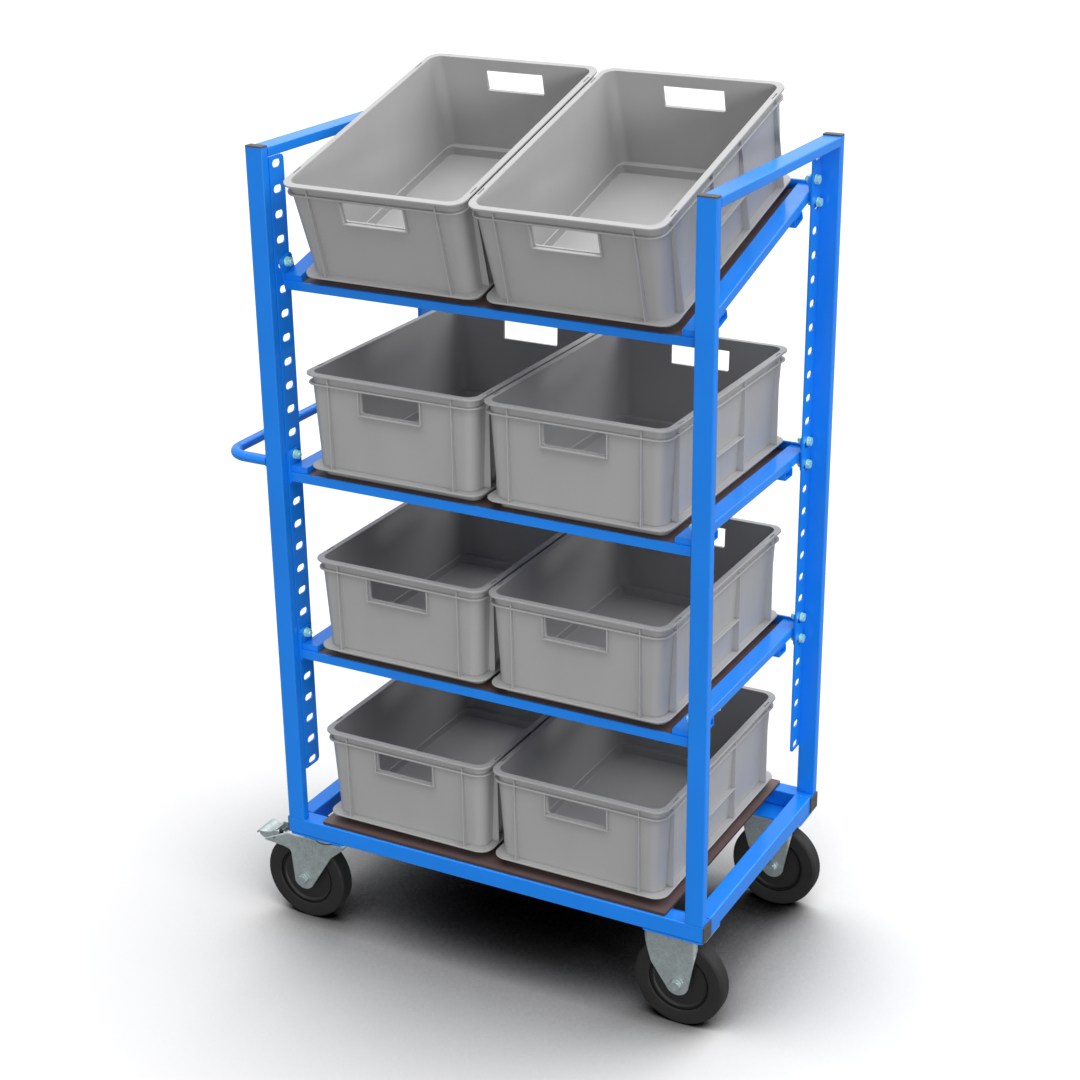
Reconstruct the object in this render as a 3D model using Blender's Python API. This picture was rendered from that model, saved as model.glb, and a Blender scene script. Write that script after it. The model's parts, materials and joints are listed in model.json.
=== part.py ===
"""Order picking trolley: a welded tube frame on four casters, with slotted strips that carry
three adjustable shelves, the top one tilted forwards, and eight stacking bins.

Metres, +Z up, X along the trolley with the push handle at -X, -Y the picking side, Z = 0 the floor.
Everything hangs on one root empty, which stands in the middle of the trolley's outline.
"""

import math

import bmesh
import bpy
from mathutils import Matrix, Vector
from mathutils.geometry import delaunay_2d_cdt

# Clearances and shared sizes
GAP = 0.0003  # between two pieces that rest on or are welded to each other
SLIDE_CLEARANCE = 0.0005  # between a pin and the hole that it turns in
CUT_OVERRUN = 0.004  # how far a cutter runs past what it cuts
WELD_OVERLAP = 0.0006  # how far two stretches of one welded piece run into each other

# Stacking bins
BIN_WIDTH = 0.400
BIN_LENGTH = 0.600
BIN_HEIGHT = 0.220
BIN_GAP = 0.006  # between the rims of the two bins on a level
BIN_SIDE_CLEARANCE = 0.052  # between a bin's rim and the posts
BIN_END_CLEARANCE = 0.011  # between a bin's rim and the frame's front or rear
BIN_CORNER_RADIUS = 0.030
BIN_CORNER_STEPS = 2
BIN_WALL = 0.003
RIM_THICKNESS = 0.008
RIM_LIP = 0.015  # of the rim beyond the wall's outside
NECK_HEIGHT = 0.011
NECK_SETBACK = 0.010  # of the neck behind the rim's edge
COLLAR_THICKNESS = 0.0045
COLLAR_SETBACK = 0.001
WALL_DRAFT = 0.006
FOOT_HEIGHT = 0.019
FOOT_SIDE_SETBACK = 0.020
FOOT_END_SETBACK = 0.032
FOOT_CORNER_RADIUS = 0.018
BASE_FLANGE_THICKNESS = 0.004
BASE_FLANGE_SETBACK = 0.0015
GRIP_WIDTH = 0.130
GRIP_HEIGHT = 0.044
GRIP_FRAME = 0.006
RIB_THICKNESS = 0.003
END_RIB_SPACING = 0.2826
SIDE_RIB_OFFSETS_SHARE = (-0.405, -0.113, 0.113, 0.405)
CROSS_RIB_HEIGHT_SHARE = 0.42

# Base frame
RAIL_SIZE = 0.038
RAIL_WALL = 0.002
RAIL_EDGE_RADIUS = 0.003
CROSSMEMBER_INSET = 0.123  # from the frame's end to the crossmember's outer side
CORNER_PLATE_THICKNESS = 0.004
CORNER_PLATE_DEPTH = 0.095
DECK_OVERHANG = 0.038  # of the deck beyond the crossmember's outer side
CAP_FLANGE = 0.003
CAP_PLUG_DEPTH = 0.018
CAP_PLUG_WALL = 0.0025
DECK_THICKNESS = 0.0065
DECK_FRONT_SETBACK = 0.004
DECK_EDGE_RADIUS = 0.004

# Uprights
POST_WIDTH = 0.040
POST_DEPTH = 0.020
POST_WALL = 0.0015
POST_EDGE_RADIUS = 0.0025
TOP_BAR_HEIGHT = 0.020

# Slotted strips
STRIP_WIDTH = 0.048
STRIP_THICKNESS = 0.004
STRIP_PROUD = 0.0015  # how far the strip stands inside of the post's inner side
STRIP_CORNER_RADIUS = 0.010
STRIP_FOOT_HEIGHT = 0.118  # of its lower end above the base rails
SLOT_SPACING = 0.050
SLOT_LENGTH = 0.028
SLOT_HEIGHT = 0.0155
TOP_SLOT_DROP = 0.0358  # of the top slot's centre below the post's top
LOWEST_SLOT_RISE = 0.0135  # of the lowest slot's centre above the strip's foot
SLOT_END_STEPS = 3

# Push handle
HANDLE_DIAMETER = 0.022
HANDLE_REACH = 0.102  # of its long run's centre from the post
HANDLE_BEND_RADIUS = 0.045
HANDLE_HEIGHT = 0.8235  # of the handle's centre above the base rails
HANDLE_INSET = 0.011  # of each arm's centre from the frame's front or rear

# Adjustable shelves: heights are taken from the middle between a bracket's two bolts
SHELF_SLOTS = {"middle": 15, "lower": 7}  # upper bolt's slot, counted from the lowest
TOP_SHELF_SLOTS = {"front": 23, "rear": 26}
SPARE_SLOTS = 1  # above the top shelf's rear bolts
BOLT_SPACING = 0.050  # between a bracket's two bolts
BOLT_SLIP = 0.0033  # of a level shelf's bolts outside of their slots' centres
BOLT_LIFT = 0.0045  # of a bolt above its slot's centre
BRACKET_THICKNESS = 0.004
BRACKET_WIDTH = 0.042
BRACKET_END_MARGIN = 0.013  # of metal beyond each bolt
BRACKET_CORNER_RADIUS = 0.009
BOLT_HOLE_DIAMETER = 0.009
SIDE_RAIL_WIDTH = 0.038
SIDE_RAIL_HEIGHT = 0.020
SIDE_RAIL_TOP = 0.0055
LIP_HEIGHT = 0.020
LIP_THICKNESS = 0.005
BACK_LIP_HEIGHT = 0.0256
CROSS_TUBE_WIDTH = 0.040
CROSS_TUBE_HEIGHT = 0.018
CROSS_TUBE_WALL = 0.002
CROSS_TUBE_INSET = 0.100  # of its centre from the shelf's front or rear
BOARD_THICKNESS = 0.0065
SHELF_TUBE_EDGE_RADIUS = 0.002

# Casters
WHEEL_RADIUS = 0.100
WHEEL_WIDTH = 0.038
TYRE_CLEARANCE = 0.004  # between a tyre and the fork's crown
TREAD_CROWN = 0.003
TREAD_SHOULDER = 0.006
TYRE_BORE_RADIUS = 0.067
RIM_WIDTH = 0.033
RIM_BAND = 0.008
WEB_THICKNESS = 0.016
HUB_RADIUS = 0.019
HUB_LENGTH = 0.043
HUB_DRAFT = 0.002
WHEEL_STEPS = 24
AXLE_RADIUS = 0.006
AXLE_HEAD_HEIGHT = 0.006
AXLE_HEAD_RADIUS = 0.0105
AXLE_END_LENGTH = 0.004
FORK_WIDTH = 0.052
FORK_SHEET = 0.003
FORK_END_RADIUS = 0.026
CASTER_PLATE_LENGTH = 0.135
CASTER_PLATE_WIDTH = 0.080
CASTER_PLATE_THICKNESS = 0.004
CASTER_PLATE_RADIUS = 0.008
PLATE_HOLE_SPACING_X = 0.105
PLATE_HOLE_SPACING_Y = 0.056
PLATE_HOLE_DIAMETER = 0.011
PLATE_HOLE_STEPS = 8
CASTER_INSET = 0.0685  # of the plate's centre from the frame's end
WHEEL_INSET = 0.055  # of the wheel's middle from the frame's front or rear
CASTER_TRAIL = 0.060
RACE_HEIGHT = 0.0166
RACE_RADIUS = 0.036
RACE_WAIST = 0.030
KINGPIN_RADIUS = 0.006
KINGPIN_HEAD_RADIUS = 0.011
KINGPIN_HEAD_HEIGHT = 0.005
KINGPIN_STEPS = 16
FORK_FRONT_REACH = 0.054  # of the swivel fork's crown in front of the kingpin
FORK_REAR_REACH = 0.098
LEG_REAR_REACH = 0.0295  # of the fork's leg behind the axle
FORK_KNEE_REACH = 0.0145
FORK_KNEE_DROP = 0.0365
WING_REACH = 0.160  # of the cheeks that hold the brake pedal, behind the kingpin
WING_DROP = 0.0283
WING_HEIGHT = 0.005
WING_ROOT_DROP = 0.0395
WING_ROOT_HEIGHT = 0.013
WING_ROOT_REACH = 0.009
FIXED_FORK_FRONT = 0.0465
FIXED_FORK_REAR = 0.0785
FIXED_FORK_SHOULDER_DROP = 0.017
FIXED_FORK_SHOULDER_SETBACK = 0.016
FIXED_FORK_WAIST = 0.0585
FIXED_FORK_WAIST_RISE = 0.0395  # above the axle
PEDAL_WIDTH = 0.050
PEDAL_SHEET = 0.003
PEDAL_SIDE_CLEARANCE = 0.001
PEDAL_PIN_RADIUS = 0.003
PEDAL_PIN_REACH = 0.135  # of the pedal's pin behind the kingpin
PEDAL_PIN_DROP = 0.022  # of the pedal's pin below the crown's top
PEDAL_LUG_RADIUS = 0.007
PEDAL_PATH = ((0.014, 0.017), (-0.004, 0.0185), (-0.022, 0.014), (-0.040, 0.0), (-0.050, -0.012))
PEDAL_WIDTH_SHARES = (0.5, 0.7, 1.0, 1.0, 0.72)  # of the pedal's width at each point of its path

# Places worked out from the sizes above
BIN_SPACING = BIN_WIDTH + BIN_GAP
FRAME_LENGTH = BIN_SPACING + BIN_WIDTH + 2 * (BIN_SIDE_CLEARANCE + POST_WIDTH)
FRAME_DEPTH = BIN_LENGTH + 2 * BIN_END_CLEARANCE
HALF_LENGTH = FRAME_LENGTH / 2
HALF_DEPTH = FRAME_DEPTH / 2
CROWN_TOP_Z = 2 * WHEEL_RADIUS + TYRE_CLEARANCE + FORK_SHEET
CASTER_PLATE_FOOT_Z = CROWN_TOP_Z + GAP + RACE_HEIGHT
CASTER_PLATE_TOP_Z = CASTER_PLATE_FOOT_Z + CASTER_PLATE_THICKNESS
CORNER_PLATE_TOP_Z = CASTER_PLATE_TOP_Z + GAP + CORNER_PLATE_THICKNESS
RAIL_UNDERSIDE_Z = CORNER_PLATE_TOP_Z + GAP
RAIL_TOP_Z = RAIL_UNDERSIDE_Z + RAIL_SIZE
STRIP_FOOT_Z = RAIL_TOP_Z + STRIP_FOOT_HEIGHT
SLOT_COUNT = TOP_SHELF_SLOTS["rear"] + SPARE_SLOTS
LOWEST_SLOT_Z = STRIP_FOOT_Z + LOWEST_SLOT_RISE
POST_TOP_Z = LOWEST_SLOT_Z + (SLOT_COUNT - 1) * SLOT_SPACING + TOP_SLOT_DROP
POST_HEIGHT = POST_TOP_Z - RAIL_TOP_Z - GAP
POST_INNER_X = HALF_LENGTH - POST_WIDTH
STRIP_INNER_X = POST_INNER_X - STRIP_PROUD
STRIP_FRONT_Y = -HALF_DEPTH + POST_DEPTH + GAP
SLOT_Y = STRIP_FRONT_Y + STRIP_WIDTH / 2
STRIP_TOP_Z = POST_TOP_Z - TOP_BAR_HEIGHT - GAP
SHELF_HALF_WIDTH = STRIP_INNER_X - GAP
SIDE_RAIL_OUTER_X = SHELF_HALF_WIDTH - BRACKET_THICKNESS
SIDE_RAIL_INNER_X = SIDE_RAIL_OUTER_X - SIDE_RAIL_WIDTH
SHELF_HALF_DEPTH = HALF_DEPTH - POST_DEPTH - GAP
SIDE_RAIL_FOOT = SIDE_RAIL_TOP - SIDE_RAIL_HEIGHT
BOARD_TOP = SIDE_RAIL_FOOT + GAP + BOARD_THICKNESS
BOLT_REACH = 2 * (BOLT_SLIP - SLOT_Y)
TOP_SHELF_RISE = (TOP_SHELF_SLOTS["rear"] - TOP_SHELF_SLOTS["front"]) * SLOT_SPACING
SHELF_TILT = math.asin(TOP_SHELF_RISE / BOLT_REACH)
TOP_BOLT_Y = -BOLT_REACH / 2 * math.cos(SHELF_TILT)
CASTER_X = HALF_LENGTH - CASTER_INSET
CASTER_Y = HALF_DEPTH - WHEEL_INSET
SIDES = {"left": -1, "right": 1}
ENDS = {"front": -1, "rear": 1}
WITHOUT_HOLES = 5  # the kind of triangulation that leaves holes open


def clear_scene():
    """Remove every object of the open scene."""
    for old in list(bpy.data.objects):
        bpy.data.objects.remove(old, do_unlink=True)


def make_material(name, colour, roughness, metallic):
    """A plain Principled material."""
    material = bpy.data.materials.new(name)
    material.use_nodes = True
    shader = material.node_tree.nodes["Principled BSDF"]
    shader.inputs["Base Color"].default_value = (*colour, 1)
    shader.inputs["Roughness"].default_value = roughness
    shader.inputs["Metallic"].default_value = metallic
    return material


def make_object(name, bm, material, parent, place=None):
    """Turn a bmesh into a named object under its parent."""
    bmesh.ops.remove_doubles(bm, verts=bm.verts, dist=GAP / 10)
    bmesh.ops.recalc_face_normals(bm, faces=bm.faces)
    mesh = bpy.data.meshes.new(name)
    bm.to_mesh(mesh)
    bm.free()
    mesh.materials.append(material)
    made = bpy.data.objects.new(name, mesh)
    bpy.context.scene.collection.objects.link(made)
    made.parent = parent
    made.matrix_local = place or Matrix.Identity(4)
    return made


def make_empty(name, location, parent=None, tilt=0):
    """An empty that carries pieces, tilted about X if asked."""
    empty = bpy.data.objects.new(name, None)
    bpy.context.scene.collection.objects.link(empty)
    empty.parent = parent
    empty.matrix_local = Matrix.Translation(location) @ Matrix.Rotation(tilt, 4, "X")
    return empty


def rounded_rectangle(length, width, radius, steps=1, centre=(0, 0)):
    """Points of a rectangle with rounded corners, anticlockwise."""
    points = []
    for quarter in range(4):
        along = (1, -1, -1, 1)[quarter] * (length / 2 - radius)
        across = (1, 1, -1, -1)[quarter] * (width / 2 - radius)
        for step in range(steps + 1):
            angle = math.pi / 2 * (quarter + step / steps)
            x = centre[0] + along + radius * math.cos(angle)
            y = centre[1] + across + radius * math.sin(angle)
            points.append((x, y))
    return points


def circle(radius, steps, centre=(0, 0)):
    """Points of a circle, anticlockwise."""
    turns = [2 * math.pi * step / steps for step in range(steps)]
    return [(centre[0] + radius * math.cos(a), centre[1] + radius * math.sin(a)) for a in turns]


def slot(length, height, centre, steps):
    """Points of a slot with round ends, its length along the first axis."""
    points = []
    for end in (1, -1):
        middle = centre[0] + end * (length - height) / 2
        for step in range(steps + 1):
            angle = math.pi * (step / steps - 1 / 2)
            x = middle + end * height / 2 * math.cos(angle)
            y = centre[1] + end * height / 2 * math.sin(angle)
            points.append((x, y))
    return points


def arc(centre, radius, start, end, steps):
    """Points of an arc between two angles in degrees."""
    angles = [math.radians(start + (end - start) * step / steps) for step in range(steps + 1)]
    return [(centre[0] + radius * math.cos(a), centre[1] + radius * math.sin(a)) for a in angles]


def loft(loops, closed=False):
    """A skin over a row of loops with equal point counts, capped or joined end to end."""
    bm = bmesh.new()
    rows = [[bm.verts.new(point) for point in loop] for loop in loops]
    pairs = list(zip(rows, rows[1:]))
    if closed:
        pairs.append((rows[-1], rows[0]))
    for low, high in pairs:
        for i in range(len(low)):
            j = (i + 1) % len(low)
            bm.faces.new((low[i], low[j], high[j], high[i]))
    if not closed:
        bm.faces.new(rows[0][::-1])
        bm.faces.new(rows[-1])
    return bm


def raised(outline, z):
    """A flat outline at one height."""
    return [(x, y, z) for x, y in outline]


def tube(length, width, depth, wall, radius):
    """A straight rectangular tube with open ends, along Z from 0."""
    outer = rounded_rectangle(width, depth, radius)
    inner = rounded_rectangle(width - 2 * wall, depth - 2 * wall, max(radius - wall, wall / 2))
    rows = [raised(outer, 0), raised(outer, length), raised(inner, length), raised(inner, 0)]
    return loft(rows, closed=True)


def bar(length, width, depth, radius):
    """A straight solid bar, along Z from 0."""
    outer = rounded_rectangle(width, depth, radius)
    return loft([raised(outer, 0), raised(outer, length)])


def sheet(outline, holes, thickness):
    """A flat sheet with holes, from Z = 0 up to its thickness."""
    points, edges = [], []
    for ring in [outline, *holes]:
        first = len(points)
        edges += [(first + i, first + (i + 1) % len(ring)) for i in range(len(ring))]
        points += [Vector(point) for point in ring]
    kept, _, faces, _, _, _ = delaunay_2d_cdt(points, edges, [], WITHOUT_HOLES, GAP / 100)
    bm = bmesh.new()
    verts = [bm.verts.new((x, y, 0)) for x, y in kept]
    for face in faces:
        bm.faces.new([verts[i] for i in face])
    made = bmesh.ops.extrude_face_region(bm, geom=bm.faces)
    moved = [item for item in made["geom"] if isinstance(item, bmesh.types.BMVert)]
    bmesh.ops.translate(bm, verts=moved, vec=(0, 0, thickness))
    return bm


def revolve(profile, steps):
    """A closed profile of (radius, height) points turned about Z, with a flat facing each axis."""
    rows = []
    for step in range(steps):
        angle = 2 * math.pi * (step + 1 / 2) / steps
        rows.append([(r * math.cos(angle), r * math.sin(angle), z) for r, z in profile])
    return loft(rows, closed=True)


def box(low, high):
    """A box between two corners."""
    outline = [(low[0], low[1]), (high[0], low[1]), (high[0], high[1]), (low[0], high[1])]
    return loft([raised(outline, low[2]), raised(outline, high[2])])


def along(direction, origin=(0, 0, 0)):
    """A placement that turns a piece built along Z to run along X or Y."""
    turns = {
        "x": Matrix(((0, 0, 1), (1, 0, 0), (0, 1, 0))),
        "y": Matrix(((-1, 0, 0), (0, 0, 1), (0, 1, 0))),
        "z": Matrix.Identity(3),
    }
    return Matrix.Translation(origin) @ turns[direction].to_4x4()


def placed(bm, matrix):
    """The same bmesh moved by a matrix."""
    bmesh.ops.transform(bm, matrix=matrix, verts=bm.verts)
    return bm


def combine(target, pieces, operation):
    """Fuse bmeshes with an object, or cut them out of it, and keep the result as its mesh."""
    helpers = []
    for piece in pieces:
        helper = make_object("helper", piece, target.data.materials[0], None, target.matrix_world)
        helper.hide_render = True
        modifier = target.modifiers.new("shape", "BOOLEAN")
        modifier.operation = operation
        modifier.object = helper
        helpers.append(helper)
    bpy.context.view_layer.update()
    for helper in helpers:
        helper.matrix_world = target.matrix_world
    graph = bpy.context.evaluated_depsgraph_get()
    graph.update()
    result = bpy.data.meshes.new_from_object(target.evaluated_get(graph))
    target.modifiers.clear()
    target.data = result
    for helper in helpers:
        bpy.data.objects.remove(helper, do_unlink=True)


def build_base(root, paint, plastic, wood):
    """The base frame's rails, crossmembers, end caps and deck."""
    for end, sign in ENDS.items():
        rail = tube(FRAME_LENGTH, RAIL_SIZE, RAIL_SIZE, RAIL_WALL, RAIL_EDGE_RADIUS)
        y = sign * (HALF_DEPTH - RAIL_SIZE / 2)
        place = along("x", (-HALF_LENGTH, y, RAIL_UNDERSIDE_Z + RAIL_SIZE / 2))
        make_object(f"base_{end}_rail", rail, paint, root, place)
        for side, hand in SIDES.items():
            x = hand * (HALF_LENGTH + GAP)
            cap = make_cap(RAIL_SIZE, RAIL_SIZE, RAIL_WALL, RAIL_EDGE_RADIUS)
            place = Matrix.Translation((x, y, RAIL_UNDERSIDE_Z + RAIL_SIZE / 2))
            turn = Matrix.Rotation(hand * math.pi / 2, 4, "Y")
            make_object(f"rail_cap_{end}_{side}", cap, plastic, root, place @ turn)
    build_cross_rails(root, paint)
    deck_length = 2 * (HALF_LENGTH - CROSSMEMBER_INSET + DECK_OVERHANG)
    deck_width = FRAME_DEPTH - 2 * DECK_FRONT_SETBACK
    outline = rounded_rectangle(deck_length, deck_width, DECK_EDGE_RADIUS)
    deck = sheet(outline, [], DECK_THICKNESS)
    make_object("base_deck", deck, wood, root, Matrix.Translation((0, 0, RAIL_TOP_Z + GAP)))


def build_cross_rails(root, paint):
    """The rails that run front to rear: two outer ones with their corner plates, two inner ones."""
    length = FRAME_DEPTH - 2 * RAIL_SIZE - 2 * GAP
    middle_z = RAIL_UNDERSIDE_Z + RAIL_SIZE / 2
    for side, hand in SIDES.items():
        outer_x = hand * (HALF_LENGTH - RAIL_SIZE / 2)
        rail = tube(length, RAIL_SIZE, RAIL_SIZE, RAIL_WALL, RAIL_EDGE_RADIUS)
        placed(rail, along("y", (outer_x, -length / 2, middle_z)))
        made = make_object(f"base_{side}_rail", rail, paint, root)
        pieces = []
        for sign in ENDS.values():
            shift = sign * (WHEEL_INSET - CORNER_PLATE_DEPTH / 2 - GAP)
            corner = (CASTER_PLATE_LENGTH, CORNER_PLATE_DEPTH - 2 * GAP)
            outline = rounded_rectangle(*corner, CASTER_PLATE_RADIUS, 1, (0, shift))
            plate = sheet(outline, plate_holes(), CORNER_PLATE_THICKNESS)
            z = CORNER_PLATE_TOP_Z - CORNER_PLATE_THICKNESS
            pieces.append(placed(plate, Matrix.Translation((hand * CASTER_X, sign * CASTER_Y, z))))
            inner_y = HALF_DEPTH - CORNER_PLATE_DEPTH + CASTER_PLATE_RADIUS
            weld_y = sorted((sign * inner_y, sign * (HALF_DEPTH - RAIL_SIZE - 2 * WELD_OVERLAP)))
            reach = RAIL_SIZE / 2 - RAIL_EDGE_RADIUS - WELD_OVERLAP
            low = (outer_x - reach, weld_y[0], CORNER_PLATE_TOP_Z - WELD_OVERLAP)
            high = (outer_x + reach, weld_y[1], RAIL_UNDERSIDE_Z + WELD_OVERLAP)
            pieces.append(box(low, high))
        combine(made, pieces, "UNION")
        inner_x = hand * (HALF_LENGTH - CROSSMEMBER_INSET - RAIL_SIZE / 2)
        inner = tube(length, RAIL_SIZE, RAIL_SIZE, RAIL_WALL, RAIL_EDGE_RADIUS)
        place = along("y", (inner_x, -length / 2, middle_z))
        make_object(f"base_{side}_crossmember", inner, paint, root, place)


def make_cap(width, depth, wall, radius):
    """A plastic end cap: a flange on a hollow plug, the flange facing +Z from 0."""
    flange = rounded_rectangle(width, depth, radius)
    inside = 2 * (wall + GAP)
    plug_radius = max(radius - wall, wall / 2)
    plug = rounded_rectangle(width - inside, depth - inside, plug_radius)
    thin = inside + 2 * CAP_PLUG_WALL
    hollow = rounded_rectangle(width - thin, depth - thin, plug_radius)
    crown = rounded_rectangle(width - radius, depth - radius, radius)
    rows = [raised(hollow, 0), raised(hollow, -CAP_PLUG_DEPTH), raised(plug, -CAP_PLUG_DEPTH)]
    rows += [raised(plug, 0), raised(flange, 0), raised(flange, CAP_FLANGE / 2)]
    rows.append(raised(crown, CAP_FLANGE))
    return loft(rows)


def build_uprights(root, paint, plastic):
    """The posts with their caps, the top bars and the slotted strips."""
    for side, hand in SIDES.items():
        x = hand * (HALF_LENGTH - POST_WIDTH / 2)
        for end, sign in ENDS.items():
            y = sign * (HALF_DEPTH - POST_DEPTH / 2)
            post = tube(POST_HEIGHT, POST_WIDTH, POST_DEPTH, POST_WALL, POST_EDGE_RADIUS)
            place = Matrix.Translation((x, y, RAIL_TOP_Z + GAP))
            make_object(f"post_{end}_{side}", post, paint, root, place)
            cap = make_cap(POST_WIDTH, POST_DEPTH, POST_WALL, POST_EDGE_RADIUS)
            place = Matrix.Translation((x, y, POST_TOP_Z + GAP))
            make_object(f"post_cap_{end}_{side}", cap, plastic, root, place)
            strip = make_strip()
            if sign > 0:
                placed(strip, Matrix.Scale(-1, 4, Vector((0, 1, 0))))
            inner_x = STRIP_INNER_X if hand > 0 else -STRIP_INNER_X - STRIP_THICKNESS
            place = Matrix.Translation((inner_x, 0, 0))
            make_object(f"slotted_strip_{end}_{side}", strip, paint, root, place)
        length = FRAME_DEPTH - 2 * POST_DEPTH - 2 * GAP
        top_bar = tube(length, POST_WIDTH, TOP_BAR_HEIGHT, POST_WALL, POST_EDGE_RADIUS)
        place = along("y", (x, -length / 2, POST_TOP_Z - TOP_BAR_HEIGHT / 2))
        make_object(f"top_bar_{side}", top_bar, paint, root, place)


def make_strip():
    """The front strip, flat across X, with its row of slots."""
    low, high = STRIP_FOOT_Z, STRIP_TOP_Z
    front, back = STRIP_FRONT_Y, STRIP_FRONT_Y + STRIP_WIDTH
    radius = STRIP_CORNER_RADIUS
    outline = [(front, low)]
    outline += arc((back - radius, low + radius), radius, -90, 0, 3)
    outline += arc((back - radius, high - radius), radius, 0, 90, 3)
    outline.append((front, high))
    slots = []
    for number in range(1, SLOT_COUNT + 1):
        slots.append(slot(SLOT_LENGTH, SLOT_HEIGHT, (SLOT_Y, slot_z(number)), SLOT_END_STEPS))
    strip = sheet(outline, slots, STRIP_THICKNESS)
    return placed(strip, along("x"))


def slot_z(number):
    """Height of a slot's centre, counted from the lowest."""
    return LOWEST_SLOT_Z + (number - 1) * SLOT_SPACING


def build_handle(root, paint):
    """The push handle, a bent round tube between the two posts of the left side."""
    reach = HANDLE_REACH
    half = HALF_DEPTH - HANDLE_INSET
    radius = HANDLE_BEND_RADIUS
    path = [(0, -half)]
    path += [(-x, y) for x, y in arc((reach - radius, -half + radius), radius, -90, 0, 5)]
    path += [(-x, y) for x, y in arc((reach - radius, half - radius), radius, 0, 90, 5)]
    path.append((0, half))
    loops = []
    for i, (x, y) in enumerate(path):
        before = Vector(path[max(i - 1, 0)])
        after = Vector(path[min(i + 1, len(path) - 1)])
        heading = (after - before).normalized()
        if i in (0, len(path) - 1):
            heading = Vector((-1, 0)) if i == 0 else Vector((1, 0))
        across = Vector((-heading.y, heading.x))
        ring = circle(HANDLE_DIAMETER / 2, 10)
        loops.append([(x + across.x * u, y + across.y * u, v) for u, v in ring])
    handle = loft(loops)
    place = Matrix.Translation((-HALF_LENGTH - GAP, 0, RAIL_TOP_Z + HANDLE_HEIGHT))
    make_object("push_handle", handle, paint, root, place)


def shelf_places():
    """Each shelf's name, centre and tilt."""
    places = {}
    for name, number in SHELF_SLOTS.items():
        z = slot_z(number) + BOLT_LIFT - BOLT_SPACING / 2
        places[name] = ((0, 0, z), 0)
    bolt = Vector((0, -BOLT_REACH / 2, BOLT_SPACING / 2))
    turned = Matrix.Rotation(SHELF_TILT, 3, "X") @ bolt
    bolt_z = slot_z(TOP_SHELF_SLOTS["front"]) + BOLT_LIFT
    places["top"] = ((0, TOP_BOLT_Y - turned.y, bolt_z - turned.z), SHELF_TILT)
    return places


def build_shelf(name, root, place, paint, wood):
    """One adjustable shelf: a welded tray of tubes and bars with corner brackets, and its board."""
    carrier = make_empty(f"{name}_shelf_place", place[0], root, place[1])
    inner_length = 2 * (SHELF_HALF_DEPTH - LIP_THICKNESS)
    overlap = 2 * WELD_OVERLAP
    lip_low = (-SIDE_RAIL_OUTER_X, -SHELF_HALF_DEPTH, BOARD_TOP - LIP_HEIGHT)
    lip_high = (SIDE_RAIL_OUTER_X, -SHELF_HALF_DEPTH + LIP_THICKNESS, BOARD_TOP)
    frame = make_object(f"{name}_shelf_frame", box(lip_low, lip_high), paint, carrier)
    back_low = (-SIDE_RAIL_OUTER_X, SHELF_HALF_DEPTH - LIP_THICKNESS, SIDE_RAIL_FOOT)
    back_high = (SIDE_RAIL_OUTER_X, SHELF_HALF_DEPTH, SIDE_RAIL_FOOT + BACK_LIP_HEIGHT)
    pieces = [box(back_low, back_high)]
    for hand in SIDES.values():
        side = bar(inner_length + overlap, SIDE_RAIL_WIDTH, SIDE_RAIL_HEIGHT, SHELF_TUBE_EDGE_RADIUS)
        x = hand * (SIDE_RAIL_OUTER_X - SIDE_RAIL_WIDTH / 2)
        z = SIDE_RAIL_TOP - SIDE_RAIL_HEIGHT / 2
        pieces.append(placed(side, along("y", (x, -inner_length / 2 - WELD_OVERLAP, z))))
        for sign in ENDS.values():
            bracket = placed(make_bracket(), along("x"))
            bracket_x = SIDE_RAIL_OUTER_X if hand > 0 else -SHELF_HALF_WIDTH
            start = Vector((bracket_x - hand * WELD_OVERLAP / 2, sign * BOLT_REACH / 2, 0))
            pieces.append(placed(bracket, Matrix.Translation(start)))
    for sign in ENDS.values():
        cross = tube(
            2 * SIDE_RAIL_OUTER_X,
            CROSS_TUBE_WIDTH,
            CROSS_TUBE_HEIGHT,
            CROSS_TUBE_WALL,
            SHELF_TUBE_EDGE_RADIUS,
        )
        y = sign * (SHELF_HALF_DEPTH - CROSS_TUBE_INSET)
        z = SIDE_RAIL_FOOT - CROSS_TUBE_HEIGHT / 2 + WELD_OVERLAP / 2
        pieces.append(placed(cross, along("x", (-SIDE_RAIL_OUTER_X, y, z))))
    combine(frame, pieces, "UNION")
    board_length = 2 * (SIDE_RAIL_INNER_X - GAP)
    board = sheet(
        rounded_rectangle(board_length, inner_length - 2 * GAP, SHELF_TUBE_EDGE_RADIUS),
        [],
        BOARD_THICKNESS,
    )
    z = BOARD_TOP - BOARD_THICKNESS + GAP
    make_object(f"{name}_shelf_board", board, wood, carrier, Matrix.Translation((0, 0, z)))
    return carrier


def make_bracket():
    """A bracket plate with two bolt holes, its width along the first axis."""
    height = BOLT_SPACING + 2 * BRACKET_END_MARGIN
    outline = rounded_rectangle(BRACKET_WIDTH, height, BRACKET_CORNER_RADIUS, 2)
    holes = []
    for sign in ENDS.values():
        holes.append(circle(BOLT_HOLE_DIAMETER / 2, 6, (0, sign * BOLT_SPACING / 2)))
    return sheet(outline, holes, BRACKET_THICKNESS)


def build_bins(level, root, carrier, floor_z, plastic):
    """The two bins of a level, each under an empty that slides towards the picking side."""
    for side, hand in SIDES.items():
        place = (hand * BIN_SPACING / 2, 0, floor_z + GAP)
        slider = make_empty(f"{level}_{side}_bin_slide", place, carrier)
        make_bin(f"{level}_bin_{side}", slider, plastic)


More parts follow.
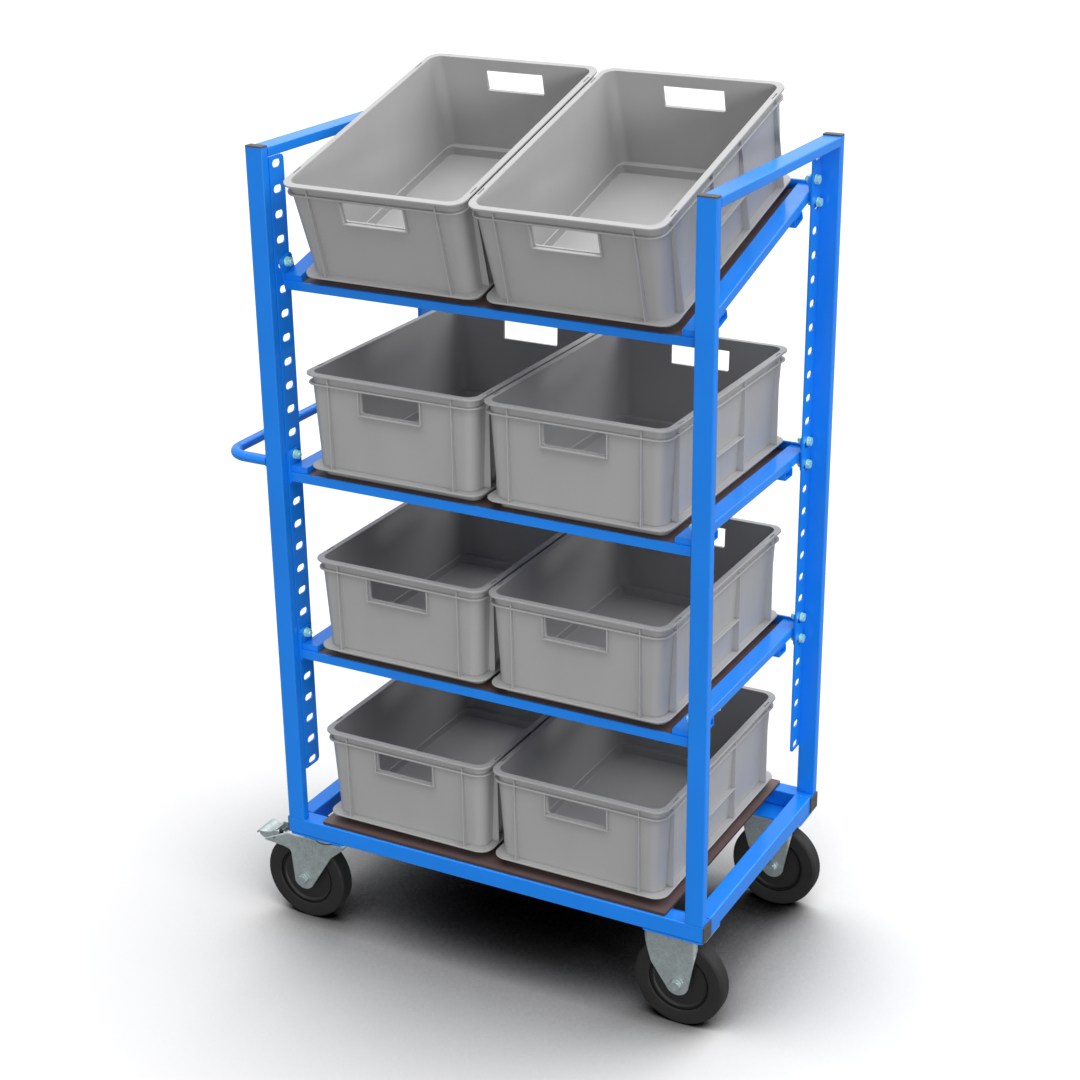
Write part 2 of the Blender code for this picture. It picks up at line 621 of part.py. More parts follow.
def bin_loop(setback_x, setback_y, radius, z):
    """A rounded loop round the bin, set back from the rim's edge."""
    outline = rounded_rectangle(
        BIN_WIDTH - 2 * setback_x, BIN_LENGTH - 2 * setback_y, radius, BIN_CORNER_STEPS
    )
    return raised(outline, z)


def make_bin(name, parent, plastic):
    """A stacking bin with foot, base flange, ribs, collar, neck and rim, open at the top."""
    collar_top = BIN_HEIGHT - RIM_THICKNESS - NECK_HEIGHT
    collar_foot = collar_top - COLLAR_THICKNESS
    flange_top = FOOT_HEIGHT + BASE_FLANGE_THICKNESS
    wide, foot = BIN_CORNER_RADIUS, FOOT_CORNER_RADIUS
    lip, low_lip = RIM_LIP, RIM_LIP + WALL_DRAFT
    inside, low_inside = lip + BIN_WALL, low_lip + BIN_WALL
    wall_radius, inner_radius = wide - lip / 2, wide - lip / 2 - BIN_WALL
    flange, collar = BASE_FLANGE_SETBACK, COLLAR_SETBACK
    under_side, under_end = FOOT_SIDE_SETBACK + BIN_WALL, FOOT_END_SETBACK + BIN_WALL
    loops = [
        bin_loop(under_side, under_end, foot - BIN_WALL, FOOT_HEIGHT),
        bin_loop(under_side, under_end, foot - BIN_WALL, 0),
        bin_loop(FOOT_SIDE_SETBACK, FOOT_END_SETBACK, foot, 0),
        bin_loop(FOOT_SIDE_SETBACK, FOOT_END_SETBACK, foot, FOOT_HEIGHT),
        bin_loop(flange, flange, wide, FOOT_HEIGHT),
        bin_loop(flange, flange, wide, flange_top),
        bin_loop(low_lip, low_lip, wall_radius, flange_top),
        bin_loop(lip, lip, wall_radius, collar_foot),
        bin_loop(collar, collar, wide, collar_foot),
        bin_loop(collar, collar, wide, collar_top),
        bin_loop(NECK_SETBACK, NECK_SETBACK, wall_radius, collar_top),
        bin_loop(NECK_SETBACK, NECK_SETBACK, wall_radius, collar_top + NECK_HEIGHT),
        bin_loop(0, 0, wide, collar_top + NECK_HEIGHT),
        bin_loop(0, 0, wide, BIN_HEIGHT),
        bin_loop(inside, inside, inner_radius, BIN_HEIGHT),
        bin_loop(low_inside, low_inside, inner_radius, FOOT_HEIGHT + BIN_WALL),
    ]
    made = make_object(name, loft(loops), plastic, parent)
    combine(made, bin_ribs(flange_top, collar_foot), "UNION")
    combine(made, bin_grips(collar_foot), "DIFFERENCE")


def bin_ribs(flange_top, collar_foot):
    """The ribs on all four sides and the frames round the two hand grips."""
    low, high = flange_top - WELD_OVERLAP, collar_foot + WELD_OVERLAP
    half_rib = RIB_THICKNESS / 2
    frame_foot = collar_foot - GRIP_HEIGHT - GRIP_FRAME
    cross_z = flange_top + CROSS_RIB_HEIGHT_SHARE * (collar_foot - flange_top)
    end_ribs = [(sign * END_RIB_SPACING / 2, half_rib, low, high, 0) for sign in (-1, 1)]
    end_ribs.append((0, GRIP_WIDTH / 2 + GRIP_FRAME, frame_foot, high, 0))
    side_ribs = [(share * BIN_LENGTH, half_rib, low, high, 0) for share in SIDE_RIB_OFFSETS_SHARE]
    cross_half = SIDE_RIB_OFFSETS_SHARE[2] * BIN_LENGTH
    side_ribs.append((0, cross_half, cross_z - half_rib, cross_z + half_rib, GAP))
    pieces = []
    for quarter in range(4):
        turn = Matrix.Rotation(quarter * math.pi / 2, 4, "Z")
        face = (BIN_WIDTH if quarter % 2 else BIN_LENGTH) / 2
        for middle, half, foot, top, trim in side_ribs if quarter % 2 else end_ribs:
            loops = []
            for z in (foot, top):
                share = (z - flange_top) / (collar_foot - flange_top)
                wall = face - RIM_LIP - WALL_DRAFT * (1 - share) - BIN_WALL / 2 + trim
                setback = COLLAR_SETBACK * share + BASE_FLANGE_SETBACK * (1 - share)
                edge = face - GAP - setback - trim
                row = [(middle - half, wall), (middle + half, wall)]
                row += [(middle + half, edge), (middle - half, edge)]
                loops.append(raised(row, z))
            pieces.append(placed(loft(loops), turn))
    return pieces


def bin_grips(collar_foot):
    """Cutters for the hand grips through both end walls."""
    cutters = []
    for sign in ENDS.values():
        outer = sign * (BIN_LENGTH / 2 + CUT_OVERRUN)
        inner = sign * (BIN_LENGTH / 2 - RIM_LIP - WALL_DRAFT - BIN_WALL - CUT_OVERRUN)
        low = (-GRIP_WIDTH / 2, min(outer, inner), collar_foot - GRIP_HEIGHT)
        high = (GRIP_WIDTH / 2, max(outer, inner), collar_foot - WELD_OVERLAP)
        cutters.append(box(low, high))
    return cutters


def plate_holes():
    """The four bolt holes of a caster plate, which the frame's corner plates share."""
    holes = []
    for along_x in SIDES.values():
        for along_y in ENDS.values():
            centre = (along_x * PLATE_HOLE_SPACING_X / 2, along_y * PLATE_HOLE_SPACING_Y / 2)
            holes.append(circle(PLATE_HOLE_DIAMETER / 2, PLATE_HOLE_STEPS, centre))
    return holes


def caster_plate(top_z):
    """The caster's top plate with its four bolt holes, hanging below a height."""
    outline = rounded_rectangle(CASTER_PLATE_LENGTH, CASTER_PLATE_WIDTH, CASTER_PLATE_RADIUS)
    plate = sheet(outline, plate_holes(), CASTER_PLATE_THICKNESS)
    return placed(plate, Matrix.Translation((0, 0, top_z - CASTER_PLATE_THICKNESS)))


def build_wheel(name, carrier, rubber, plastic, zinc, fork):
    """A tyre, its hub and the axle bolt. The carrier lies on the axle, which runs along Y."""
    half, bore = WHEEL_WIDTH / 2, TYRE_BORE_RADIUS
    tread = WHEEL_RADIUS / math.cos(math.pi / WHEEL_STEPS)
    shoulder, crown = tread - TREAD_CROWN, half - TREAD_SHOULDER
    seat = RIM_WIDTH / 2
    tyre = [(bore, -seat), (bore, seat), (shoulder, half), (tread, crown)]
    tyre += [(tread, -crown), (shoulder, -half)]
    turn = Matrix.Rotation(math.pi / 2, 4, "X")
    make_object(f"{name}_tyre", revolve(tyre, WHEEL_STEPS), rubber, carrier, turn)
    rim, web = bore - GAP, WEB_THICKNESS / 2
    hub_bore = AXLE_RADIUS + SLIDE_CLEARANCE
    side = [(hub_bore, HUB_LENGTH / 2), (HUB_RADIUS - HUB_DRAFT, HUB_LENGTH / 2), (HUB_RADIUS, web)]
    side += [(rim - RIM_BAND, web), (rim, seat)]
    hub = side + [(r, -z) for r, z in reversed(side)]
    make_object(f"{name}_hub", revolve(hub, WHEEL_STEPS), plastic, carrier, turn)
    make_object(f"{name}_axle", make_axle(), zinc, fork, turn)


def make_axle():
    """The axle bolt: a hexagon head, a shank through fork and hub, and a nut on its end."""
    head = hexagon(AXLE_HEAD_RADIUS)
    shank = circle(AXLE_RADIUS, 12)
    face = FORK_WIDTH / 2 + GAP
    outer = face + AXLE_HEAD_HEIGHT
    rows = [raised(head, -outer), raised(head, -face), raised(shank, -face), raised(shank, face)]
    rows += [raised(head, face), raised(head, outer), raised(shank, outer)]
    rows.append(raised(shank, outer + AXLE_END_LENGTH))
    return loft(rows)


def hexagon(radius):
    """Twelve points of a hexagon: its corners and the middles of its sides."""
    corners = circle(radius, 6)
    points = []
    for i, (x, y) in enumerate(corners):
        next_x, next_y = corners[(i + 1) % 6]
        points += [(x, y), ((x + next_x) / 2, (y + next_y) / 2)]
    return points


def fork_body(outline, crown_foot_z):
    """A folded fork: its side view over the full width, with the wheel's space cut out later."""
    fork = sheet(outline, [], FORK_WIDTH)
    placed(fork, along("y"))
    placed(fork, Matrix.Scale(-1, 4, Vector((1, 0, 0))))
    placed(fork, Matrix.Translation((0, -FORK_WIDTH / 2, 0)))
    reach = WHEEL_RADIUS * 2 + CASTER_TRAIL
    half = FORK_WIDTH / 2 - FORK_SHEET
    space = box((-reach, -half, -reach), (reach, half, crown_foot_z))
    return fork, space


def axle_hole(x, z):
    """A cutter for the axle's holes in both legs of a fork."""
    radius = AXLE_RADIUS + SLIDE_CLEARANCE
    cutter = loft([raised(circle(radius, 12), 0), raised(circle(radius, 12), 2 * FORK_WIDTH)])
    return placed(cutter, along("y", (x, -FORK_WIDTH, z)))


def build_fixed_caster(end, root, materials):
    """A caster that doesn't swivel: plate and fork in one, and its wheel."""
    zinc, rubber, plastic = materials
    carrier = make_empty(f"fixed_caster_{end}_place", (CASTER_X, ENDS[end] * CASTER_Y, 0), root)
    top_z = CASTER_PLATE_FOOT_Z + WELD_OVERLAP
    shoulder_z = CASTER_PLATE_FOOT_Z - FIXED_FORK_SHOULDER_DROP
    outline = [(FIXED_FORK_FRONT, shoulder_z), (FIXED_FORK_FRONT, top_z)]
    outline.append((FIXED_FORK_SHOULDER_SETBACK - FIXED_FORK_REAR, top_z))
    outline.append((-FIXED_FORK_REAR, shoulder_z))
    outline.append((-FIXED_FORK_WAIST, WHEEL_RADIUS + FIXED_FORK_WAIST_RISE))
    outline += arc((0, WHEEL_RADIUS), FORK_END_RADIUS, 205, 345, 6)
    fork, space = fork_body(outline, CASTER_PLATE_FOOT_Z - FORK_SHEET)
    made = make_object(f"fixed_caster_{end}_fork", fork, zinc, carrier)
    combine(made, [space, axle_hole(0, WHEEL_RADIUS)], "DIFFERENCE")
    combine(made, [caster_plate(CASTER_PLATE_TOP_Z)], "UNION")
    axle = make_empty(f"fixed_caster_{end}_axle_place", (0, 0, WHEEL_RADIUS), carrier)
    build_wheel(f"fixed_caster_{end}", axle, rubber, plastic, zinc, axle)


def build_swivel_caster(end, root, materials):
    """A swivel caster: plate with race and kingpin, turning fork, wheel and brake pedal."""
    zinc, rubber, plastic = materials
    carrier = make_empty(f"swivel_caster_{end}_place", (-CASTER_X, ENDS[end] * CASTER_Y, 0), root)
    plate = make_object(f"swivel_caster_{end}_plate", caster_plate(CASTER_PLATE_TOP_Z), zinc, carrier)
    crown_foot = CROWN_TOP_Z - FORK_SHEET
    head_top = crown_foot - SLIDE_CLEARANCE
    profile = [(RACE_WAIST, CASTER_PLATE_FOOT_Z + WELD_OVERLAP), (RACE_RADIUS, CROWN_TOP_Z + GAP)]
    pin = [(KINGPIN_RADIUS, CROWN_TOP_Z + GAP), (KINGPIN_RADIUS, head_top)]
    pin += [(KINGPIN_HEAD_RADIUS, head_top), (KINGPIN_HEAD_RADIUS, head_top - KINGPIN_HEAD_HEIGHT)]
    rows = [raised(circle(r, KINGPIN_STEPS), z) for r, z in profile + pin]
    combine(plate, [loft(rows)], "UNION")
    turner = make_empty(f"swivel_caster_{end}_swivel", (0, 0, CROWN_TOP_Z), carrier)
    build_swivel_fork(end, turner, zinc)
    axle_place = (-CASTER_TRAIL, 0, WHEEL_RADIUS - CROWN_TOP_Z)
    axle = make_empty(f"swivel_caster_{end}_axle_place", axle_place, turner)
    build_wheel(f"swivel_caster_{end}", axle, rubber, plastic, zinc, axle)
    build_pedal(end, turner, zinc)


def build_swivel_fork(end, turner, zinc):
    """The swivel fork with two rear cheeks, which hold the brake pedal. Its crown's top is Z = 0."""
    axle_x, axle_z = -CASTER_TRAIL, WHEEL_RADIUS - CROWN_TOP_Z
    leg_rear = axle_x - LEG_REAR_REACH
    outline = [(FORK_FRONT_REACH, 0), (-FORK_REAR_REACH, 0), (-WING_REACH, -WING_DROP)]
    outline.append((-WING_REACH, -WING_DROP - WING_HEIGHT))
    outline.append((leg_rear - WING_ROOT_REACH, -WING_ROOT_DROP))
    outline += [(leg_rear, -WING_ROOT_DROP - WING_ROOT_HEIGHT), (leg_rear, axle_z)]
    outline += arc((axle_x, axle_z), FORK_END_RADIUS, 205, 335, 5)
    outline.append((FORK_KNEE_REACH, -FORK_KNEE_DROP))
    fork, space = fork_body(outline, -FORK_SHEET)
    made = make_object(f"swivel_caster_{end}_fork", fork, zinc, turner)
    hole = circle(KINGPIN_RADIUS + SLIDE_CLEARANCE, KINGPIN_STEPS)
    kingpin_hole = loft([raised(hole, -FORK_WIDTH), raised(hole, CUT_OVERRUN)])
    pin_hole = circle(PEDAL_PIN_RADIUS + SLIDE_CLEARANCE, 8)
    pedal_hole = loft([raised(pin_hole, 0), raised(pin_hole, 2 * FORK_WIDTH)])
    place = along("y", (-PEDAL_PIN_REACH, -FORK_WIDTH, -PEDAL_PIN_DROP))
    cutters = [space, axle_hole(axle_x, axle_z), kingpin_hole, placed(pedal_hole, place)]
    combine(made, cutters, "DIFFERENCE")


def below(path, depth):
    """A copy of a path, moved square to itself by a depth."""
    moved = []
    for i, (x, z) in enumerate(path):
        before = Vector(path[max(i - 1, 0)])
        after = Vector(path[min(i + 1, len(path) - 1)])
        heading = (before - after).normalized()
        moved.append((x + heading.y * depth, z - heading.x * depth))
    return moved


def build_pedal(end, turner, zinc):
    """The brake pedal: a bent sheet with two lugs between the fork's cheeks, on a cross pin."""
    place = (-PEDAL_PIN_REACH, 0, -PEDAL_PIN_DROP)
    pivot = make_empty(f"swivel_caster_{end}_pedal_pivot", place, turner)
    loops = []
    under = below(PEDAL_PATH, PEDAL_SHEET)
    for share, (x, z), (under_x, under_z) in zip(PEDAL_WIDTH_SHARES, PEDAL_PATH, under):
        half = share * PEDAL_WIDTH / 2
        loops.append([(x, -half, z), (x, half, z), (under_x, half, under_z), (under_x, -half, under_z)])
    made = make_object(f"swivel_caster_{end}_pedal", loft(loops), zinc, pivot)
    pieces = []
    lug_face = FORK_WIDTH / 2 - FORK_SHEET - PEDAL_SIDE_CLEARANCE
    middle = below(PEDAL_PATH[:3], PEDAL_SHEET / 2)
    outline = arc((0, 0), PEDAL_LUG_RADIUS, 200, 340, 4) + [middle[0], middle[1], middle[2]]
    for start in (-lug_face, lug_face - PEDAL_SHEET):
        loops = [[(x, start, z) for x, z in outline]]
        loops.append([(x, start + PEDAL_SHEET, z) for x, z in outline])
        pieces.append(loft(loops))
    ring = circle(PEDAL_PIN_RADIUS, 8)
    pieces.append(loft([[(x, sign * FORK_WIDTH / 2, z) for x, z in ring] for sign in (-1, 1)]))
    combine(made, pieces, "UNION")


def centre_root(root):
    """Move the root so that the trolley's outline is centred on the origin."""
    bpy.context.view_layer.update()
    corners = []
    for piece in bpy.context.scene.objects:
        if piece.type == "MESH":
            corners += [piece.matrix_world @ Vector(corner) for corner in piece.bound_box]
    for axis in (0, 1):
        values = [corner[axis] for corner in corners]
        root.location[axis] = -(min(values) + max(values)) / 2


def main():
    """Build the whole trolley."""
    clear_scene()
    paint = make_material("blue_powder_coat", (0.026, 0.180, 0.640), 0.35, 0.0)
    wood = make_material("film_faced_plywood", (0.068, 0.036, 0.034), 0.55, 0.0)
    bin_plastic = make_material("grey_bin_plastic", (0.340, 0.340, 0.340), 0.50, 0.0)
    zinc = make_material("zinc_plated_steel", (0.290, 0.350, 0.360), 0.40, 0.8)
    rubber = make_material("black_rubber", (0.028, 0.028, 0.028), 0.70, 0.0)
    hub_plastic = make_material("black_hub_plastic", (0.020, 0.020, 0.020), 0.55, 0.0)
    cap_plastic = make_material("dark_cap_plastic", (0.060, 0.060, 0.060), 0.60, 0.0)
    root = make_empty("trolley", (0, 0, 0))
    build_base(root, paint, cap_plastic, wood)
    build_uprights(root, paint, cap_plastic)
    build_handle(root, paint)
    for name, place in shelf_places().items():
        carrier = build_shelf(name, root, place, paint, wood)
        build_bins(name, root, carrier, BOARD_TOP + GAP, bin_plastic)
    build_bins("base", root, root, RAIL_TOP_Z + GAP + DECK_THICKNESS, bin_plastic)
    for end in ENDS:
        build_fixed_caster(end, root, (zinc, rubber, hub_plastic))
        build_swivel_caster(end, root, (zinc, rubber, hub_plastic))
    centre_root(root)


main()
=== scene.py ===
"""Order picking trolley: its looks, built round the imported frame.

Metres, +Z up, in the frame's own place: the push handle is at -X and -Y is the picking side.
Each operator models one group of pieces, and the panel in the sidebar lists them.
"""

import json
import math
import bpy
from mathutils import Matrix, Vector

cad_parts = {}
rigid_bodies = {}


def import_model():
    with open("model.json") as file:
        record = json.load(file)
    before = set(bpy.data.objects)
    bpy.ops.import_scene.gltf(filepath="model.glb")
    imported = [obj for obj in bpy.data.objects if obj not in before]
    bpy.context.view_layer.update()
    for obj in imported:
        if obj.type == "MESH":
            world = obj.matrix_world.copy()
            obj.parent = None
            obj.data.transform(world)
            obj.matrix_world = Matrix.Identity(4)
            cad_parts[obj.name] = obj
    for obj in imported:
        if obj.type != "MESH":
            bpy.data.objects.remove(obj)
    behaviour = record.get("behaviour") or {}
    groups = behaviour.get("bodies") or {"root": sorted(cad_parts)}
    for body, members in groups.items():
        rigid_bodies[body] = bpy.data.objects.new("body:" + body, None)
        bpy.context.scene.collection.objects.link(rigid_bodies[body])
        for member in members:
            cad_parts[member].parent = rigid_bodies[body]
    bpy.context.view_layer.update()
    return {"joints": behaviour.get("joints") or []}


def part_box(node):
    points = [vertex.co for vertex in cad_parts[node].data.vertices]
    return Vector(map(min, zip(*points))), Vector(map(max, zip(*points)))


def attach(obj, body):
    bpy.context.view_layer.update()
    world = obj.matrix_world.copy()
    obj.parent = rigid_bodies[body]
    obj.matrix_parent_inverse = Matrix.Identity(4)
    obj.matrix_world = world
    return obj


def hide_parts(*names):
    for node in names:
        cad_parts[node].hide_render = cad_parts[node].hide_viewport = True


bl_info = {
    "name": "Order Picking Trolley",
    "version": (1, 0, 0),
    "blender": (4, 5, 0),
    "location": "View3D > Sidebar > Trolley",
    "description": "Models an order picking trolley round its packed frame, with its studio",
    "category": "Add Mesh",
}

import bmesh
import bpy
from mathutils import Matrix, Vector

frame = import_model()

FRAME_BODY = "trolley_frame"
ENDS = {"front": -1, "rear": 1}
SIDES = {"left": -1, "right": 1}
SHELVES = ("lower", "middle", "top")
LEVELS = ("base", *SHELVES)
AXES = {"x": Vector((1, 0, 0)), "y": Vector((0, 1, 0)), "z": Vector((0, 0, 1))}
TURNS = {"x": (0, math.pi / 2, 0), "y": (-math.pi / 2, 0, 0), "z": (0, 0, 0)}
JOINTS = {joint["name"]: joint for joint in frame["joints"]}
RAIL_LOW, RAIL_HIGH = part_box("base_front_rail")
MIDDLE = Vector(((RAIL_LOW.x + RAIL_HIGH.x) / 2, RAIL_LOW.y, 0))
FIT = 0.0003  # the gap between two pieces that rest on each other
OVERLAP = 0.001  # how far pieces that are fused run into each other
NEAR = 0.0001  # how close to a place a point counts as being there
OVERRUN = 0.01  # how far a cutter reaches past an open side
BEYOND = 0.30  # a place past every piece of a caster
ALIGNED = 0.999  # how closely a way has to follow an axis, as a cosine
WELD_RIPPLE = 0.0022  # from one ripple of a weld to the next


def length(name, description, default):
    """A length that a user can change."""
    return bpy.props.FloatProperty(
        name=name, description=description, default=default, min=0, precision=4, unit="LENGTH"
    )


def colour(name, description, default):
    """A colour that a user can change."""
    return bpy.props.FloatVectorProperty(
        name=name, description=description, default=default, size=3, min=0, max=1, subtype="COLOR"
    )


def strength(name, description, default):
    """A light's strength or a share, which a user can change."""
    return bpy.props.FloatProperty(name=name, description=description, default=default, min=0)


def angle(name, description, degrees):
    """An angle that a user can change."""
    return bpy.props.FloatProperty(
        name=name, description=description, default=math.radians(degrees), subtype="ANGLE"
    )


class TrolleyColours(bpy.types.PropertyGroup):
    """The colours of the trolley's finishes."""

    paint: colour("Powder coat", "Colour of the painted steel", (0.008, 0.235, 0.880))
    board: colour("Board", "Colour of the film on the deck and shelf boards", (0.115, 0.072, 0.068))
    ply: colour("Ply", "Colour of the boards' sealed edges", (0.050, 0.026, 0.022))
    bins: colour("Bins", "Colour of the bins' plastic", (0.385, 0.385, 0.385))
    zinc: colour("Zinc", "Colour of the casters' plated steel", (0.470, 0.540, 0.545))
    bolts: colour("Bolts", "Colour of the passivated bolts", (0.450, 0.860, 0.780))
    tyre: colour("Tyre", "Colour of the solid rubber tyres", (0.013, 0.013, 0.013))
    hub: colour("Hub", "Colour of the wheels' hubs", (0.009, 0.009, 0.009))
    cap: colour("Caps", "Colour of the tubes' end caps", (0.060, 0.060, 0.060))
    spring: colour("Springs", "Colour of the pedals' springs", (0.030, 0.035, 0.035))


class TrolleyFrameSizes(bpy.types.PropertyGroup):
    """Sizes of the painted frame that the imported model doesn't give."""

    rail_radius: length("Rail edge", "Radius of the base rails' edges", 0.0035)
    post_radius: length("Post edge", "Radius of the posts' and top bars' edges", 0.0028)
    cap_radius: length("Cap edge", "Radius of the end caps' edges", 0.0012)
    sheet_edge: length("Sheet edge", "Softness of a cut sheet's edge", 0.0005)
    plate_thickness: length("Corner plate", "Thickness of the base frame's corner plates", 0.004)
    plate_depth: length("Plate depth", "Depth of a corner plate from the frame's face", 0.0944)
    slot_pitch: length("Slot pitch", "Distance between two slots of a strip", 0.050)
    slot_length: length("Slot length", "Length of a strip's slot", 0.028)
    slot_height: length("Slot height", "Height of a strip's slot", 0.0155)
    first_slot_drop: length("First slot", "Drop of the top slot below the post's top", 0.0358)
    strip_radius: length("Strip corner", "Radius of a strip's free corners", 0.010)
    handle_diameter: length("Handle", "Diameter of the push handle's tube", 0.022)
    handle_bend: length("Handle bend", "Radius of the push handle's bends", 0.045)
    collar_width: length("Weld collar", "Width of the weld round the handle's end", 0.0022)
    collar_length: length("Weld collar length", "Length of that weld along the handle", 0.0030)
    deck_radius: length("Deck corner", "Radius of the deck board's corners", 0.004)
    weld_radius: length("Weld", "Radius of a weld bead", 0.0022)


class TrolleyShelfSizes(bpy.types.PropertyGroup):
    """Sizes of the shelf frames, counted from the middle between a bracket's bolts."""

    bolt_spacing: length("Bolt spacing", "Distance between a bracket's two bolts", 0.050)
    bolt_reach: length("Bolt reach", "Distance from front bolts to rear bolts", 0.540)
    bracket_width: length("Bracket width", "Width of a corner bracket", 0.042)
    bracket_margin: length("Bracket margin", "Metal above and below the bolts", 0.013)
    bracket_radius: length("Bracket corner", "Radius of a bracket's corners", 0.009)
    bracket_thickness: length("Bracket", "Thickness of a bracket", 0.004)
    hole_diameter: length("Bolt hole", "Diameter of a bracket's bolt hole", 0.011)
    rail_width: length("Side rail width", "Width of a shelf's side rail", 0.038)
    rail_height: length("Side rail height", "Height of a shelf's side rail", 0.020)
    rail_top: length("Side rail top", "Height of a side rail's top above the bolts' middle", 0.0055)
    lip_height: length("Front lip", "Height of a shelf's front lip", 0.020)
    back_lip_height: length("Back lip", "Height of a shelf's back lip", 0.0256)
    lip_thickness: length("Lip", "Thickness of a shelf's front and back lips", 0.005)
    tube_width: length("Cross tube width", "Width of a cross tube under a shelf", 0.040)
    tube_height: length("Cross tube height", "Height of a cross tube under a shelf", 0.018)
    tube_wall: length("Cross tube wall", "Wall of a cross tube", 0.002)
    tube_inset: length("Cross tube inset", "Place of a cross tube behind the shelf's edge", 0.100)
    tube_depth: length("Cross tube opening", "Depth that a cross tube's ends are open to", 0.090)
    edge_radius: length("Edge", "Radius of the shelf tubes' edges", 0.0025)
    lip_radius: length("Lip edge", "Radius of the lips' edges", 0.0009)
    board_radius: length("Board corner", "Radius of a shelf board's corners", 0.002)
    board_edge: length("Board edge", "Softness of the boards' edges", 0.0006)
    weld_radius: length("Weld", "Radius of a weld bead", 0.0020)


class TrolleyBinSizes(bpy.types.PropertyGroup):
    """Sizes of a stacking bin."""

    width: length("Width", "Width over the rim", 0.400)
    depth: length("Length", "Length over the rim", 0.600)
    height: length("Height", "Height from the foot to the rim", 0.220)
    corner_radius: length("Corner", "Radius of the rim's corners", 0.030)
    wall: length("Wall", "Thickness of the walls", 0.003)
    lip: length("Lip", "Reach of the rim beyond the wall", 0.010)
    draft: length("Draft", "How far the wall leans in towards its foot", 0.008)
    rim_thickness: length("Rim", "Thickness of the rim", 0.0048)
    rim_edge: length("Rim edge", "Radius of the rim's edges", 0.0013)
    flare: length("Flare", "How far the mouth widens at its edge", 0.0010)
    neck_height: length("Neck", "Height of the groove between rim and collar", 0.0150)
    neck_setback: length("Neck setback", "Depth of that groove behind the rim's edge", 0.0096)
    collar_thickness: length("Collar", "Thickness of the collar", 0.0037)
    collar_setback: length("Collar setback", "Setback of the collar behind the rim's edge", 0.0026)
    foot_height: length("Foot", "Height of the stacking foot", 0.019)
    foot_side: length("Foot side", "Setback of the foot on the long sides", 0.020)
    foot_end: length("Foot end", "Setback of the foot on the short sides", 0.032)
    foot_radius: length("Foot corner", "Radius of the foot's corners", 0.018)
    collar_edge: length("Collar edge", "Radius of the collar's edges", 0.0012)
    flange_edge: length("Flange edge", "Radius of the foot flange's edges", 0.0014)
    flange_thickness: length("Flange", "Thickness of the flange above the foot", 0.004)
    flange_setback: length("Flange setback", "Setback of that flange behind the rim's edge", 0.0015)
    grip_width: length("Grip width", "Width of the hand grip on the inside", 0.130)
    grip_height: length("Grip height", "Height of the hand grip on the inside", 0.044)
    grip_flare: length("Grip flare", "How much wider the grip is on the outside", 0.0045)
    grip_radius: length("Grip corner", "Radius of the hand grip's lower corners", 0.004)
    rib: length("Rib", "Thickness of the ribs", 0.003)
    rib_edge: length("Rib edge", "Softness of the ribs' edges", 0.0006)
    rib_setback: length("Rib setback", "Setback of the ribs behind the collar", 0.0008)
    end_rib: length("End rib", "Place of the ribs beside the grip, from the middle", 0.1413)
    side_rib: length("Side rib", "Place of the inner ribs on a long side, from the middle", 0.068)
    corner_rib: length("Corner rib", "Place of the outer ribs on a long side", 0.243)
    cross_rib: length("Cross rib", "Height of the level rib above the bin's underside", 0.096)
    slot_length: length("Label slot length", "Length of the small slots in the rim", 0.024)
    slot_width: length("Label slot width", "Width of the small slots in the rim", 0.003)
    slot_depth: length("Label slot depth", "Depth of the small slots in the rim", 0.003)
    slot_place: length("Label slot place", "Place of the small slots, from the middle", 0.237)
    fillet: length("Fillet", "Radius between the floor and the walls inside", 0.002)


class TrolleyCasterSizes(bpy.types.PropertyGroup):
    """Sizes of the casters."""

    wheel_radius: length("Wheel", "Radius of a wheel", 0.100)
    wheel_width: length("Wheel width", "Width of a wheel", 0.038)
    tyre_bore: length("Tyre bore", "Radius inside the tyre", 0.067)
    rim_width: length("Rim width", "Width of the hub's rim", 0.033)
    rim_band: length("Rim band", "Thickness of the hub's rim", 0.0035)
    rim_setback: length("Rim setback", "Setback of the hub's rim behind the tyre's side", 0.004)
    tread_radius: length("Tread edge", "Radius between a tyre's side and its tread", 0.007)
    tread_crown: length("Tread crown", "How far a tyre's tread rises to its middle", 0.0001)
    web: length("Web", "Thickness of the hub's web", 0.016)
    hub_radius: length("Hub", "Radius of the hub's boss", 0.019)
    hub_length: length("Hub length", "Length of the hub's boss", 0.043)
    axle_radius: length("Axle", "Radius of the axle bolt", 0.006)
    fork_width: length("Fork width", "Width over a fork's legs", 0.052)
    fork_sheet: length("Fork sheet", "Thickness of a fork's sheet", 0.003)
    fork_end: length("Fork end", "Radius of a leg's round end", 0.026)
    fold_radius: length("Fold", "Outer radius of a fork's folds", 0.006)
    fork_edge: length("Fork edge", "Softness of a fork's cut edges", 0.0005)
    plate_thickness: length("Plate", "Thickness of a caster's top plate", 0.004)
    plate_length: length("Plate length", "Length of a caster's top plate", 0.135)
    plate_width: length("Plate width", "Width of a caster's top plate", 0.080)
    plate_edge: length("Plate edge", "Softness of a top plate's edges", 0.0006)
    plate_radius: length("Plate corner", "Radius of a top plate's corners", 0.008)
    hole_pitch_x: length("Hole pitch X", "Distance between plate holes along the trolley", 0.105)
    hole_pitch_y: length("Hole pitch Y", "Distance between plate holes across the trolley", 0.056)
    hole_diameter: length("Plate hole", "Diameter of a top plate's holes", 0.011)
    pedal_width: length("Pedal width", "Width of a brake pedal's tongue", 0.058)
    pedal_sheet: length("Pedal sheet", "Thickness of a brake pedal's sheet", 0.003)
    pin_radius: length("Pedal pin", "Radius of a brake pedal's pin", 0.003)


